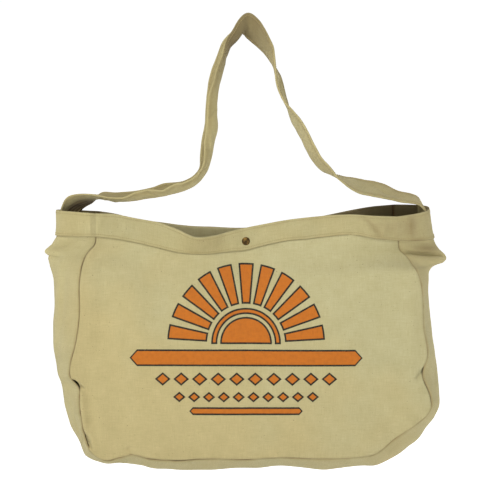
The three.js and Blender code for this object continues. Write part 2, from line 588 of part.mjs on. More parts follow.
/** A named piece in a finish of its own. */
function piece(name, geometry, finish) {
  const mesh = new THREE.Mesh(geometry, new THREE.MeshStandardMaterial(finish));
  mesh.name = name;
  return mesh;
}

const canvas = { color: '#c3ba8b', roughness: 0.92, metalness: 0 };
const strapCanvas = { color: '#bab085', roughness: 0.92, metalness: 0 };
const oldBrass = { color: '#6e5630', roughness: 0.42, metalness: 0.9 };

const bag = new THREE.Group();
bag.add(
  piece('front_panel', panel('front'), canvas),
  piece('back_panel', panel('back'), canvas),
  piece('gusset', gusset(), canvas),
  piece('mouth_band', mouthBand(), canvas),
  piece('strap', strap(), strapCanvas),
  piece('snap_cap', snapCap(), oldBrass),
  piece('snap_socket', snapSocket(), oldBrass),
  piece('snap_stud', snapStud(), oldBrass),
);

export default bag;
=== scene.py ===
import math

import bpy
import numpy as np
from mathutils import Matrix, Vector


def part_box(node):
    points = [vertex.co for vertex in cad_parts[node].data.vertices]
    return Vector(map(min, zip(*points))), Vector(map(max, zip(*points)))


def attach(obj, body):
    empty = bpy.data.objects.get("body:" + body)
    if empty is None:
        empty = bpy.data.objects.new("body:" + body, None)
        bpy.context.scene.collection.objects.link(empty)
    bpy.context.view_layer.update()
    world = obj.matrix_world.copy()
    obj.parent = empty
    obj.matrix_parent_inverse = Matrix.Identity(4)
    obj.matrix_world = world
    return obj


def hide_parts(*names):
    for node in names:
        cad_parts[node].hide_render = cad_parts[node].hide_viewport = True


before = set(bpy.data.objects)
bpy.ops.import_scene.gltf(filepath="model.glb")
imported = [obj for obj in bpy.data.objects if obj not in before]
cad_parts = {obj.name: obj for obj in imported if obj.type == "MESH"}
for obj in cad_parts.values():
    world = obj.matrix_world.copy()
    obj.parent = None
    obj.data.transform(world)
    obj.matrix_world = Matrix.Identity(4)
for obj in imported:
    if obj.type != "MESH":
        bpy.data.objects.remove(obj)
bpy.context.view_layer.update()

# Front panel. One piece of heavy natural cotton duck with rounded bottom corners, cut 0.42 m deep. It
# bellies out over what the bag has carried, its seams draw it in at the ends and the bottom, and it
# carries the bag's print. Its shape comes from how the mouth and the seams hang.
BAG_WIDTH = 0.610
BAG_HEIGHT = 0.405
HANG = 0.302
HEM = 0.039
GUSSET_HALF = 0.072
GUSSET_EASE = 0.9
CANVAS = 0.0014
CROWN = 0.015
BELLY = 0.93
SEAM_GAP = 0.0006
HALF = BAG_WIDTH / 2
# The width of the finest crease, in which every table of folds counts widths and heights.
CREASE = 0.001
# The gusset swells away from the bag's core, whose ends and floor are shares of HALF and BAG_HEIGHT.
CORE_LEFT, CORE_RIGHT, CORE_DOWN = -0.64, 0.62, 0.74


def table(columns, *rows):
    """A table of numbers, as one array for each named column."""
    return dict(zip(columns.split(), np.array(rows, float).T))


def smooth(places, values, at):
    """A column read at any place: a cubic through its rows, with the mean slope at each of them."""
    at = np.clip(at, places[0], places[-1])
    steep = np.diff(values) / np.diff(places)
    slopes = np.concatenate([steep[:1], (steep[:-1] + steep[1:]) / 2, steep[-1:]])
    i = np.clip(np.searchsorted(places, at, "right") - 1, 0, len(places) - 2)
    width = places[i + 1] - places[i]
    t = (at - places[i]) / width
    start = (1 + 2 * t) * (1 - t) ** 2 * values[i] + t * (1 - t) ** 2 * width * slopes[i]
    return start + t * t * (3 - 2 * t) * values[i + 1] - t * t * (1 - t) * width * slopes[i + 1]


def read(rows, by, at):
    """Every column of a table at the places given of its `by` column."""
    return {name: smooth(rows[by], column, at) for name, column in rows.items() if name != by}


# Across is a share of half the bag's width. The rim and the hem's edge lie this far below the ends of
# the mouth, as shares of the hem's height, and top and low are their depths, as shares of half the gusset.
mouth_rows = table(
    "across rim_front hem_front top_front low_front rim_back hem_back top_back low_back",
    (-0.802, 0.12, 1.10, 0.39, 0.39, 0.08, 1.05, 0.39, 0.39),
    (-0.698, 0.18, 1.21, 0.22, 0.27, 0.20, 1.20, 0.14, 0.25),
    (-0.597, 0.35, 1.37, 0.11, 0.23, 0.40, 1.40, 0.04, 0.18),
    (-0.458, 0.56, 1.63, 0.10, 0.20, 0.54, 1.56, 0.03, 0.14),
    (-0.362, 0.81, 1.77, 0.32, 0.18, 0.64, 1.66, 0.03, 0.12),
    (-0.272, 1.10, 1.82, 0.46, 0.16, 0.70, 1.70, 0.04, 0.11),
    (-0.181, 1.06, 1.80, 0.42, 0.13, 0.72, 1.71, 0.04, 0.10),
    (-0.085, 0.89, 1.74, 0.16, 0.10, 0.76, 1.70, 0.04, 0.09),
    (0.000, 0.75, 1.70, 0.05, 0.08, 0.76, 1.68, 0.05, 0.08),
    (0.085, 0.62, 1.53, 0.07, 0.13, 0.70, 1.58, 0.06, 0.12),
    (0.208, 0.45, 1.32, 0.11, 0.27, 0.56, 1.45, 0.09, 0.22),
    (0.325, 0.33, 1.22, 0.17, 0.38, 0.42, 1.32, 0.16, 0.32),
    (0.448, 0.23, 1.10, 0.27, 0.46, 0.24, 1.20, 0.25, 0.42),
    (0.565, 0.19, 1.03, 0.38, 0.56, 0.06, 1.03, 0.40, 0.50),
    (0.688, 0.22, 1.17, 0.54, 0.55, -0.10, 0.90, 0.54, 0.55),
    (0.805, 0.24, 1.25, 0.61, 0.52, -0.18, 0.85, 0.61, 0.52),
)
# The seams down the ends and along the bottom. Down is a share of the bag's height, puff how far the
# gusset's middle stands out as a share of half its width, and blunt how bluntly it folds there. Lift is
# how much higher the back seam hangs and rise how far the middle is raised, as shares of the hem's height.
end_rows = {
    "left": table(
        "down across puff blunt lift rise",
        (0.012, -0.802, 0.90, 3, 0.04, 0.10),
        (0.106, -0.804, 0.91, 2.6, 0.04, 0),
        (0.140, -0.813, 0.93, 1.8, 0, 0),
        (0.177, -0.853, 0.90, 1.6, 0, 0.08),
        (0.222, -0.876, 0.76, 1.9, 0, 0),
        (0.281, -0.888, 0.63, 2, 0, 0),
        (0.430, -0.890, 0.62, 2, 0, 0),
        (0.540, -0.912, 0.54, 2, 0, 0),
        (0.625, -0.938, 0.36, 2, 0, 0),
        (0.665, -0.934, 0.35, 2, 0, 0),
        (0.705, -0.893, 0.45, 2, 0, 0),
        (0.780, -0.887, 0.39, 2, 0, 0),
        (0.914, -0.853, 0.25, 2, 0, 0),
        (0.960, -0.832, 0.22, 2, 0, 0),
    ),
    "right": table(
        "down across puff blunt lift rise",
        (0.023, 0.805, 0.735, 3, 0.42, 0.09),
        (0.120, 0.813, 0.82, 2.6, 0.40, -0.13),
        (0.162, 0.826, 0.91, 1.7, 0.30, -0.10),
        (0.188, 0.862, 0.92, 1.5, 0.22, -0.10),
        (0.212, 0.884, 0.79, 1.6, 0.17, -0.06),
        (0.237, 0.906, 0.42, 1.8, 0.12, 0),
        (0.295, 0.931, 0.22, 2, 0.04, 0),
        (0.468, 0.946, 0.21, 2, 0, 0),
        (0.575, 0.966, 0.24, 2, 0, 0),
        (0.661, 0.941, 0.40, 2, 0, 0),
        (0.741, 0.981, 0.27, 2, 0, 0),
        (0.790, 0.984, 0.25, 2, 0, 0),
        (0.827, 0.951, 0.29, 2, 0, 0),
    ),
}
bottom_rows = table(
    "across down puff",
    (-0.832, 0.960, 0.22),
    (-0.790, 0.990, 0.18),
    (-0.745, 1.002, 0.18),
    (-0.672, 0.991, 0.22),
    (-0.597, 0.981, 0.31),
    (-0.522, 0.994, 0.27),
    (-0.375, 1.002, 0.31),
    (-0.227, 0.996, 0.35),
    (0.000, 0.998, 0.265),
    (0.192, 0.991, 0.27),
    (0.420, 0.997, 0.335),
    (0.626, 0.988, 0.30),
    (0.690, 0.976, 0.36),
    (0.784, 0.920, 0.43),
    (0.872, 0.875, 0.37),
    (0.951, 0.827, 0.29),
)


def points_of(x, y, z):
    """Points from their three coordinates, stretched to one shape."""
    return np.stack(np.broadcast_arrays(x, y, z), axis=-1)


def unit(vectors):
    return vectors / np.maximum(np.linalg.norm(vectors, axis=-1, keepdims=True), 1e-12)


def gusset_section(x, down, puff, blunt=2.0, lift=0.0, rise=0.0):
    """The seams and the swell of the gusset where the front seam passes x and down."""
    z = -HANG - down * BAG_HEIGHT
    depth = GUSSET_HALF * GUSSET_EASE * np.sqrt(1 - puff * puff)
    core_x = np.clip(x, CORE_LEFT * HALF, CORE_RIGHT * HALF)
    core_z = -HANG - CORE_DOWN * BAG_HEIGHT
    return {
        "front": points_of(x, -depth, z),
        "back": points_of(x, depth, z + lift * HEM),
        "out": unit(points_of(x - core_x, 0.0, np.minimum(0.0, z - core_z))),
        "swell": puff * GUSSET_HALF,
        "blunt": blunt,
        "rise": rise * HEM,
    }


def end_section(side, drop):
    """A section of one end: drop is -1 at the rim, 0 at the hem's lower edge and 1 at the corner."""
    rows = end_rows[side]
    reach = np.where(drop < 0, rows["down"][0], rows["down"][-1])
    down = rows["down"][1] + (reach - rows["down"][1]) * np.abs(drop)
    found = read(rows, "down", down)
    across = found.pop("across")
    return gusset_section(across * HALF, down, **found)


def bottom_section(u):
    """A section under the bag: u is 0 at its left corner and 1 at its right one."""
    across = bottom_rows["across"][0] + (bottom_rows["across"][-1] - bottom_rows["across"][0]) * u
    found = read(bottom_rows, "across", across)
    down = found.pop("down")
    return gusset_section(across * HALF, down, **found)


def mouth_points(face, u, k):
    """The hem's stretch of a panel: k is 0 at the rim and 1 at the hem's lower edge."""
    left, right = (end_section(side, k - 1)[face] for side in ("left", "right"))
    sign = -1 if face == "front" else 1

    def plain(x):
        row = read(mouth_rows, "across", x / HALF)
        rim, hem, top, low = (row[f"{column}_{face}"] for column in ("rim", "hem", "top", "low"))
        y = sign * (top + (low - top) * k) * GUSSET_HALF
        return points_of(x, y, -HANG - (rim + (hem - rim) * k) * HEM)

    points = plain(left[..., 0] + (right[..., 0] - left[..., 0]) * u)
    points = points + (left - plain(left[..., 0])) * ((1 - u) ** 6)[..., None]
    return points + (right - plain(right[..., 0])) * (u ** 6)[..., None]


def panel_points(face, u, drop):
    """A panel's middle surface on a grid: u of shape (n, 1) and drop of shape (1, m)."""
    v = np.maximum(drop, 0.0)
    left, right = (end_section(side, v)[face] for side in ("left", "right"))
    start, end = np.zeros((1, 1)), np.ones((1, 1))
    top = mouth_points(face, u, end)
    bottom = bottom_section(u)[face]
    corner = {}
    for i, place in enumerate((start, end)):
        corner[i, 0] = mouth_points(face, place, end)
        corner[i, 1] = bottom_section(place)[face]
    uu, vv = u[..., None], v[..., None]
    flat = top + (bottom - top) * vv + left + (right - left) * uu
    high = corner[0, 0] + (corner[1, 0] - corner[0, 0]) * uu
    low = corner[0, 1] + (corner[1, 1] - corner[0, 1]) * uu
    flat = flat - high - (low - high) * vv
    sign = -1 if face == "front" else 1
    belly = GUSSET_HALF * GUSSET_EASE * BELLY
    y = sign * (belly + CROWN * np.sin(math.pi * u) * np.sin(math.pi * v))

    def pull(points):
        return points[..., 1] - sign * belly

    at_left, at_right, at_top, at_bottom = (1 - u) ** 4, u ** 4, (1 - v) ** 2.2, v ** 4
    y = y + at_left * pull(left) + at_right * pull(right) + at_top * pull(top) + at_bottom * pull(bottom)
    y = y - at_top * (at_left * pull(corner[0, 0]) + at_right * pull(corner[1, 0]))
    y = y - at_bottom * (at_left * pull(corner[0, 1]) + at_right * pull(corner[1, 1]))
    flat[..., 1] = y
    return np.where((drop <= 0)[..., None], mouth_points(face, u, np.minimum(drop, 0.0) + 1), flat)


def spread(start, end, count, crowd=0.0015):
    """Places from start to end, with three more close to each end for a rounded edge."""
    inside = np.linspace(start, end, count)
    near = crowd * abs(end - start)
    edge = np.sign(end - start) * np.array([0.25, 1.0, 2.2]) * near
    return np.concatenate([[start], start + edge, inside[1:-1], end - edge[::-1], [end]])


def normals_of(points, loop=False):
    """Outward normals of a grid, which runs to the right and then up as seen from outside."""
    if loop:
        along = np.roll(points, -1, axis=0) - np.roll(points, 1, axis=0)
    else:
        along = np.gradient(points, axis=0)
    return unit(np.cross(along, np.gradient(points, axis=1)))


def lengths_along(points, axis):
    """How far each point of a grid or a line lies along it."""
    steps = np.linalg.norm(np.diff(points, axis=axis), axis=-1)
    start = np.zeros_like(np.take(steps, [0], axis=axis))
    return np.concatenate([start, np.cumsum(steps, axis=axis)], axis=axis)


def hump(off, width):
    """1 in the middle, fading to nearly 0 at twice the width."""
    return np.exp(-((off / width) ** 2))


def rumple(a, b, step, seed):
    """Smooth random heights from -1 to 1 over a cloth, with bumps about one step across."""
    rng = np.random.default_rng(seed)
    size = 97
    heights = rng.uniform(-1, 1, (size, size))
    x, y = a / step + 31.7, b / step + 47.3
    i, j = np.floor(x).astype(int), np.floor(y).astype(int)
    s, t = x - i, y - j
    s, t = s * s * (3 - 2 * s), t * t * (3 - 2 * t)

    def corner(di, dj):
        return heights[(i + di) % size, (j + dj) % size]

    near = corner(0, 0) + (corner(1, 0) - corner(0, 0)) * s
    far = corner(0, 1) + (corner(1, 1) - corner(0, 1)) * s
    return near + (far - near) * t


def fold_heights(a, b, rows):
    """Soft ridges and valleys: each row is a line's two ends, then its width and height in CREASEs."""
    heights = np.zeros(np.broadcast(a, b).shape)
    for a0, b0, a1, b1, width, height in rows:
        along = np.array([a1 - a0, b1 - b0])
        long = np.hypot(*along)
        t = ((a - a0) * along[0] + (b - b0) * along[1]) / long**2
        off = ((a - a0) * along[1] - (b - b0) * along[0]) / long
        fade = np.clip(np.minimum(t, 1 - t) / 0.25 + 0.35, 0, 1)
        fade = fade * fade * (3 - 2 * fade)
        heights = heights + height * CREASE * fade * hump(off, width * CREASE)
    return heights


# How far the inner face's pattern is shifted, so that the two faces of a cloth don't match.
OTHER_FACE = 3.1


def placed(name, data):
    """An object in the scene that holds this mesh, lamp or camera."""
    thing = bpy.data.objects.new(name, data)
    bpy.context.scene.collection.objects.link(thing)
    return thing


def solid(name, vertices, faces, paint):
    """A smooth object of these points and faces."""
    mesh = bpy.data.meshes.new(name)
    mesh.from_pydata(vertices, [], faces)
    mesh.shade_smooth()
    mesh.materials.append(paint)
    return placed(name, mesh)


def cloth_mesh(name, points, thickness, paint, flat, grime_and_shade, inside, outside=0.0, loop=False):
    """A closed sheet of cloth round a grid of points, with rounded edges.

    flat gives each point's place on the cut cloth, grime_and_shade its dirt and painted shade, and inside
    and outside how dark its two faces are painted in shade.
    """
    n, m, _ = points.shape
    normals = normals_of(points, loop)
    up = lengths_along(points, 1)
    to_edge = np.minimum(up, up[:, -1:] - up)
    if not loop:
        side = lengths_along(points, 0)
        to_edge = np.minimum(to_edge, np.minimum(side, side[-1:] - side))
    round_off = np.clip(1 - to_edge / (0.6 * thickness), 0, 1)
    half = thickness / 2 * np.sqrt(np.maximum(1 - round_off**2, 0.03))
    shells = [points + normals * half[..., None], points - normals * half[..., None]]
    vertices = np.concatenate([shell.reshape(-1, 3) for shell in shells])
    i = np.arange(n if loop else n - 1)[:, None]
    j = np.arange(m - 1)[None, :]
    a, b = i * m + j, ((i + 1) % n) * m + j
    inner = n * m
    low, low_next, top, top_next = a[:, :1], b[:, :1], a[:, -1:] + 1, b[:, -1:] + 1
    quads = [
        (a, b, b + 1, a + 1),
        (a + inner, a + 1 + inner, b + 1 + inner, b + inner),
        (low, low + inner, low_next + inner, low_next),
        (top, top_next, top_next + inner, top + inner),
    ]
    if not loop:
        first, last = a[0], b[-1]
        quads.append((first, first + 1, first + 1 + inner, first + inner))
        quads.append((last, last + inner, last + 1 + inner, last + 1))
    faces = np.concatenate([np.stack(quad, -1).reshape(-1, 4) for quad in quads])
    cloth = solid(name, vertices.tolist(), faces.tolist(), paint)
    attributes = cloth.data.attributes
    # grime_and_shade holds dirt and painted shade, inside and outside the painted shade of the inner and
    # outer faces.
    for column, both in (("grime_and_shade", (grime_and_shade, grime_and_shade)), ("inside", (outside, inside))):
        values = np.concatenate([np.broadcast_to(face, (n, m)).ravel() for face in both])
        attributes.new(column, "FLOAT", "POINT").data.foreach_set("value", values)
    place = np.concatenate([flat.reshape(-1, 2), flat.reshape(-1, 2) + OTHER_FACE])
    place = np.column_stack([place, np.zeros(len(place))])
    attributes.new("cloth", "FLOAT_VECTOR", "POINT").data.foreach_set("vector", place.ravel())
    return cloth


def colour(red, green, blue):
    """A colour from 0 to 255 as it is seen, for a shader."""
    parts = [value / 255 for value in (red, green, blue)]
    return (*[p / 12.92 if p < 0.04045 else ((p + 0.055) / 1.055) ** 2.4 for p in parts], 1.0)


class Reading:
    """A number that varies over the cloth, worked out by shader nodes."""

    def __init__(self, tree, socket):
        self.tree, self.socket = tree, socket

    def work(self, operation, *others, clamp=False):
        node = self.tree.nodes.new("ShaderNodeMath")
        node.operation = operation
        node.use_clamp = clamp
        for slot, value in zip(node.inputs, (self, *others)):
            if isinstance(value, Reading):
                self.tree.links.new(value.socket, slot)
            else:
                slot.default_value = value
        return Reading(self.tree, node.outputs[0])

    def __add__(self, other):
        return self.work("ADD", other)

    def __sub__(self, other):
        return self.work("SUBTRACT", other)

    def __mul__(self, other):
        return self.work("MULTIPLY", other)

    def above(self, level):
        """How far the reading is above a level, kept within 0 and 1."""
        return self.work("SUBTRACT", level, clamp=True)

    def least(self, other):
        return self.work("MINIMUM", other)

    def most(self, other):
        return self.work("MAXIMUM", other)

    def size(self):
        return self.work("ABSOLUTE")

    def wave(self, pitch):
        return (self * (2 * math.pi / pitch)).work("SINE")

    def inside_by(self, edge):
        """1 where the reading is below zero and 0 above it, with a soft edge."""
        return (self * (-1 / edge)).work("ADD", 0.5, clamp=True)


class Finish:
    """A material under way, with the cloth's readings to paint by."""

    def __init__(self, name):
        self.material = bpy.data.materials.new(name)
        self.material.use_nodes = True
        self.tree = self.material.node_tree
        self.shader = self.tree.nodes["Principled BSDF"]

    def node(self, kind, **settings):
        made = self.tree.nodes.new(kind)
        for key, value in settings.items():
            setattr(made, key, value)
        return made

    def join(self, output, slot):
        self.tree.links.new(output, slot)

    def attribute(self, name, output="Fac"):
        return self.node("ShaderNodeAttribute", attribute_name=name).outputs[output]

    def reading(self, name):
        return Reading(self.tree, self.attribute(name))

    def place(self):
        """The two directions of the cut cloth, in metres."""
        split = self.node("ShaderNodeSeparateXYZ")
        self.join(self.attribute("cloth", "Vector"), split.inputs[0])
        return Reading(self.tree, split.outputs[0]), Reading(self.tree, split.outputs[1])

    def noise(self, scale, detail=3.0, stretch=(1, 1, 1), vector=None):
        """Noise over the cloth, from 0 to 1."""
        mapping = self.node("ShaderNodeMapping")
        mapping.inputs["Scale"].default_value = stretch
        self.join(vector or self.attribute("cloth", "Vector"), mapping.inputs["Vector"])
        noise = self.node("ShaderNodeTexNoise")
        noise.inputs["Scale"].default_value = scale
        noise.inputs["Detail"].default_value = detail
        self.join(mapping.outputs[0], noise.inputs["Vector"])
        return Reading(self.tree, noise.outputs["Fac"])

    def mix(self, amount, under, over):
        """One colour over another by an amount from 0 to 1."""
        blend = self.node("ShaderNodeMix", data_type="RGBA")
        self.join(amount.socket, blend.inputs["Factor"])
        for slot, value in ((blend.inputs["A"], under), (blend.inputs["B"], over)):
            if isinstance(value, bpy.types.NodeSocket):
                self.join(value, slot)
            else:
                slot.default_value = value
        return blend.outputs["Result"]

    def done(self, paint, height, depth, roughness):
        bump = self.node("ShaderNodeBump")
        bump.inputs["Distance"].default_value = depth
        self.join(height.socket, bump.inputs["Height"])
        self.join(bump.outputs[0], self.shader.inputs["Normal"])
        self.join(paint, self.shader.inputs["Base Color"])
        self.shader.inputs["Roughness"].default_value = roughness
        return self.material


def canvas_finish(name, light, warm, shade, print_on=None, drift=0.0):
    """Natural cotton duck: plain weave, slubs, a few seed flecks, uneven tone, handled dirt and painted
    shade.

    Drift makes the tone warmer towards the left and the bottom of the cut cloth.
    """
    finish = Finish(name)
    a, b = finish.place()
    wobble = finish.noise(900, 2)
    pitch = 0.0012
    over = (a + wobble * 0.0003).wave(pitch)
    under = (b + wobble * 0.0003).wave(pitch)
    weave = over * under * 0.5 + 0.5
    threads = (finish.noise(1300, 2, (1, 0.05, 1)) + finish.noise(1200, 2, (0.06, 1, 1))) * 0.5
    slubs = (finish.noise(420, 3, (1, 0.07, 1)) + finish.noise(380, 3, (0.08, 1, 1))) * 0.5
    slope = (a * -0.9 + b * -1.5 - 0.78) * drift
    cloudy = (finish.noise(9, 3) * 1.8 + slope).above(0.42)
    patchy = (finish.noise(34, 4) * 2.6).above(0.8)
    paint = finish.mix(cloudy, light, warm)
    paint = finish.mix(patchy * 0.20, paint, shade)
    paint = finish.mix((slubs * 4).above(1.6) * 0.16, paint, shade)
    paint = finish.mix((threads * 4).above(1.6) * 0.34, paint, shade)
    gaps = weave.work("MULTIPLY_ADD", -1.1, 0.55, clamp=True)
    paint = finish.mix(gaps * 0.55, paint, colour(112, 98, 56))
    seeds = (finish.noise(330, 1) * 26).above(19.0)
    paint = finish.mix(seeds * 0.55, paint, colour(96, 72, 36))
    if print_on:
        paint = print_on(finish, a, b, paint, threads, gaps)
    # Brown from the grime_and_shade attribute: stains and dirt, and painted shade along seams, creases and
    # edges.
    grime_and_shade = finish.reading("grime_and_shade").work("MULTIPLY", finish.noise(60, 4) * 0.8 + 0.6, clamp=True)
    paint = finish.mix(grime_and_shade, paint, colour(104, 74, 34))
    # Dark brown from the inside attribute: painted shade on faces that lie in shadow, inside the mouth and on
    # the strap.
    inner = finish.reading("inside").work("MULTIPLY", finish.noise(25, 3) * 0.4 + 0.75, clamp=True)
    paint = finish.mix(inner, paint, colour(72, 46, 13))
    finish.shader.inputs["Sheen Weight"].default_value = 0.10
    finish.shader.inputs["Sheen Roughness"].default_value = 0.6
    finish.shader.inputs["Specular IOR Level"].default_value = 0.2
    return finish.done(paint, weave * 0.9 + threads * 0.9 + slubs * 0.7, 0.00045, 0.93)


def sun_print(finish, a, b, paint, threads, gaps):
    """The screen print: a half sun over a long bar and rows of lozenges, orange inside near black."""
    sun_drop, disc_edge, halo_edge, ray_start, ray_end, rays = 0.516, 0.040, 0.0515, 0.065, 0.126, 11
    x, z = a, b + sun_drop
    out = (x * x + z * z).work("SQRT")
    turn = z.work("ARCTAN2", x)
    under = z * -1
    disc = (out - disc_edge).most(under)
    halo = ((out - halo_edge).size() - 0.0030).most(under)
    step = math.pi / rays
    nearest = (turn * (1 / step)).work("FRACT") - 0.5
    beam = (nearest.size() * out * step) - out * (step * 0.29)
    ray = beam.most(out - ray_end).most((out - ray_start) * -1).most(under + 0.002)

    def bar(drop, half_long, half_high):
        """A bar with pointed ends, this far below the sun."""
        up = (z + drop).size()
        return (up - half_high).most(x.size() + up * 0.9 - half_long)

    def lozenges(drop, half_long, pitch, half_high):
        """A row of lozenges, this far below the sun."""
        beside = ((x * (1 / pitch)).work("FRACT") - 0.5).size() * pitch
        lozenge = (beside * 0.85 + (z + drop).size() - half_high) * 0.8
        return lozenge.most(x.size() - half_long)

    shape = disc.least(halo).least(ray).least(bar(0.024, 0.187, 0.0115)).least(bar(0.110, 0.090, 0.0045))
    shape = shape.least(lozenges(0.058, 0.150, 0.030, 0.0084)).least(lozenges(0.087, 0.120, 0.024, 0.0062))
    shape = shape + (finish.noise(700, 2) - 0.5) * 0.0009
    outline = (shape - 0.0020).inside_by(0.0006)
    ink = (shape + 0.0009).inside_by(0.0006)
    cover = (threads * -1.1 - gaps * 0.30).work("ADD", 1.58, clamp=True)
    worn = (finish.noise(150, 5) * 2.4).above(1.0)
    paint = finish.mix(outline * cover, paint, colour(24, 21, 17))
    orange = finish.mix(worn * 0.5, colour(199, 113, 30), colour(172, 92, 24))
    return finish.mix(ink * cover, paint, orange)


TURN_REACH = 0.0012
TURN_DEPTH = 0.0018


def roll_in(points, edge, inward):
    """Turns a cloth's edge inwards along a seam, where its allowance goes inside the bag."""
    return points + inward * (TURN_DEPTH * hump(edge, TURN_REACH))[..., None]


def seam_relief(edge, along, seed):
    """What a turned seam does beside it: the allowance's low ridge, and small puckers."""
    ridge = 0.0005 * hump(edge - 0.0045, 0.0030)
    pucker = rumple(along, along * 0, 0.009, seed) + 0.7 * rumple(along, along * 0, 0.017, seed + 1)
    return ridge + 0.0008 * pucker * np.exp(-edge / 0.012)


def inward_of(section, face):
    """The way that a seam's allowance points: half towards the bag's middle plane, half inwards."""
    towards = np.array([0.0, 1.0 if face == "front" else -1.0, 0.0])
    return unit(towards - section["out"])


def panel_sheet(name, face, folds, seed, paint):
    """A whole panel, from its seams up to the rim."""
    u = spread(0, 1, 236)[:, None]
    drop = np.concatenate([spread(1, 0, 162)[:-4], np.linspace(0, -1, 15)])[None, :]
    if face == "back":
        u = u[::-1]
    points = panel_points(face, u, drop)
    left, right = (end_section(side, np.clip(drop, -1, 1)) for side in ("left", "right"))
    bottom = bottom_section(u)
    if face == "back":
        left, right = right, left
    side = lengths_along(points, 0)
    up = lengths_along(points, 1)
    near_first, near_last, near_low = side, side[-1:] - side, up
    normals = normals_of(points)
    x, z = points[..., 0], points[..., 2]
    below = np.clip(drop * 12, 0, 1)
    relief = fold_heights(x, z, folds) * below
    relief += (0.0016 * rumple(x, z, 0.13, seed) + 0.0009 * rumple(x, z, 0.05, seed + 1)) * below
    relief += 0.00022 * rumple(x, z, 0.014, seed + 2) * below
    relief += seam_relief(near_first, up, seed + 3) * below
    relief += seam_relief(near_last, up, seed + 5) * below
    relief += seam_relief(near_low, side, seed + 7)
    points = points + normals * relief[..., None]
    for edge, section in ((near_first, left), (near_last, right), (near_low, bottom)):
        points = roll_in(points, edge, inward_of(section, face))
    trimmed = points.copy()
    trimmed[0] += SEAM_GAP * unit(points[1] - points[0])
    trimmed[-1] += SEAM_GAP * unit(points[-2] - points[-1])
    trimmed[:, 0] += SEAM_GAP * unit(points[:, 1] - points[:, 0])
    seams = np.minimum(np.minimum(near_first, near_last), near_low)
    # Painted shade: a dark line along each seam, wider where the seams run on inside the mouth, and a faint
    # broad darkening beside them.
    grime_and_shade = 0.55 * hump(seams, 0.0014) + 0.06 * np.exp(-seams / 0.02)
    grime_and_shade += 0.8 * hump(seams, 0.004) * (drop < -0.05)
    # Painted shade on the inner face, darker towards the bag's right end, where the mouth gapes.
    inside = 0.30 + 0.42 * np.clip((x - 0.05) / 0.12, 0, 1)
    sheet = cloth_mesh(name, trimmed, CANVAS, paint, np.stack([x, z], -1), grime_and_shade, inside)
    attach(sheet, "root")
    return sheet


# The picture's scale, and the pixel where the bag hangs.
PIXEL = 0.001626
HUNG_AT = (247, 24)


def at_photo(px, py):
    """A place on the front of the bag that shows at this pixel of the picture."""
    return (px - HUNG_AT[0]) * PIXEL, -(py - HUNG_AT[1]) * PIXEL


def drawn(*rows):
    """Folds whose ends are given as pixels of the picture, with width and height in CREASEs."""
    return [(*at_photo(x0, y0), *at_photo(x1, y1), width, height) for x0, y0, x1, y1, width, height in rows]


front_folds = drawn(
    (82, 388, 87, 434, 6, 4),
    (88, 372, 95, 448, 9, -2.6),
    (74, 378, 84, 389, 3.6, -5),
    (79, 390, 83, 432, 3.4, -3),
    (84, 430, 92, 447, 4, -5.2),
    (92, 428, 97, 450, 4.5, 2.6),
    (426, 366, 417, 378, 4, -4),
    (430, 390, 420, 396, 4.5, -2.6),
    (418, 420, 404, 418, 5, 2.4),
    (134, 455, 128, 446, 5, -3),
    (96, 240, 88, 262, 6, 2),
    (92, 258, 91, 345, 12, 1.8),
    (106, 262, 101, 372, 20, -2),
    (96, 262, 150, 330, 26, 3),
    (130, 262, 190, 350, 30, -2.6),
    (200, 262, 215, 335, 28, 2),
    (247, 256, 250, 330, 26, -2.2),
    (300, 250, 275, 330, 28, 2.2),
    (402, 252, 330, 330, 24, 3.4),
    (400, 262, 352, 372, 22, -3),
    (414, 272, 411, 385, 11, 2.2),
    (425, 368, 372, 350, 16, -2.2),
    (428, 392, 380, 372, 17, 2.4),
    (378, 450, 330, 400, 22, 2.6),
    (398, 434, 362, 380, 20, -2.2),
    (136, 454, 160, 405, 18, 2.4),
    (112, 456, 128, 400, 16, -2.2),
    (235, 456, 245, 410, 20, 1.6),
)
canvas_light = colour(199, 193, 149)
canvas_warm = colour(204, 189, 137)
canvas_shade = colour(163, 150, 100)
front_paint = canvas_finish("printed_canvas", canvas_light, canvas_warm, canvas_shade, sun_print, drift=2.2)
front = panel_sheet("front_cloth", "front", front_folds, 11, front_paint)
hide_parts("front_panel")

# Back panel. The same cut of duck as the front, with no print. It hangs a little fuller, since
# nothing draws it towards the snap, and its right end stands higher at the mouth.
back_folds = drawn(
    (100, 262, 170, 350, 26, 3.2),
    (140, 258, 205, 372, 28, -2.8),
    (228, 262, 246, 372, 26, 2.6),
    (300, 258, 262, 352, 26, -2.4),
    (396, 250, 318, 352, 24, 3.4),
    (392, 280, 350, 392, 20, -2.6),
    (92, 400, 150, 430, 18, 2.6),
    (410, 392, 362, 430, 20, 2.6),
    (200, 450, 215, 392, 20, 2.2),
    (300, 452, 290, 400, 20, -2),
)
plain_paint = canvas_finish("plain_canvas", canvas_light, canvas_warm, canvas_shade, drift=2.2)
back = panel_sheet("back_cloth", "back", back_folds, 41, plain_paint)
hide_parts("back_panel")


def gusset_points(section, w):
    """The strip's surface: w is -1 at the front seam and 1 at the back seam."""
    swell = 1 - np.abs(w) ** section["blunt"]
    middle = section["front"] + (section["back"] - section["front"]) * ((w + 1) / 2)[..., None]
    points = middle + section["out"] * (section["swell"] * swell)[..., None]
    points[..., 2] += section["rise"] * swell
    return points


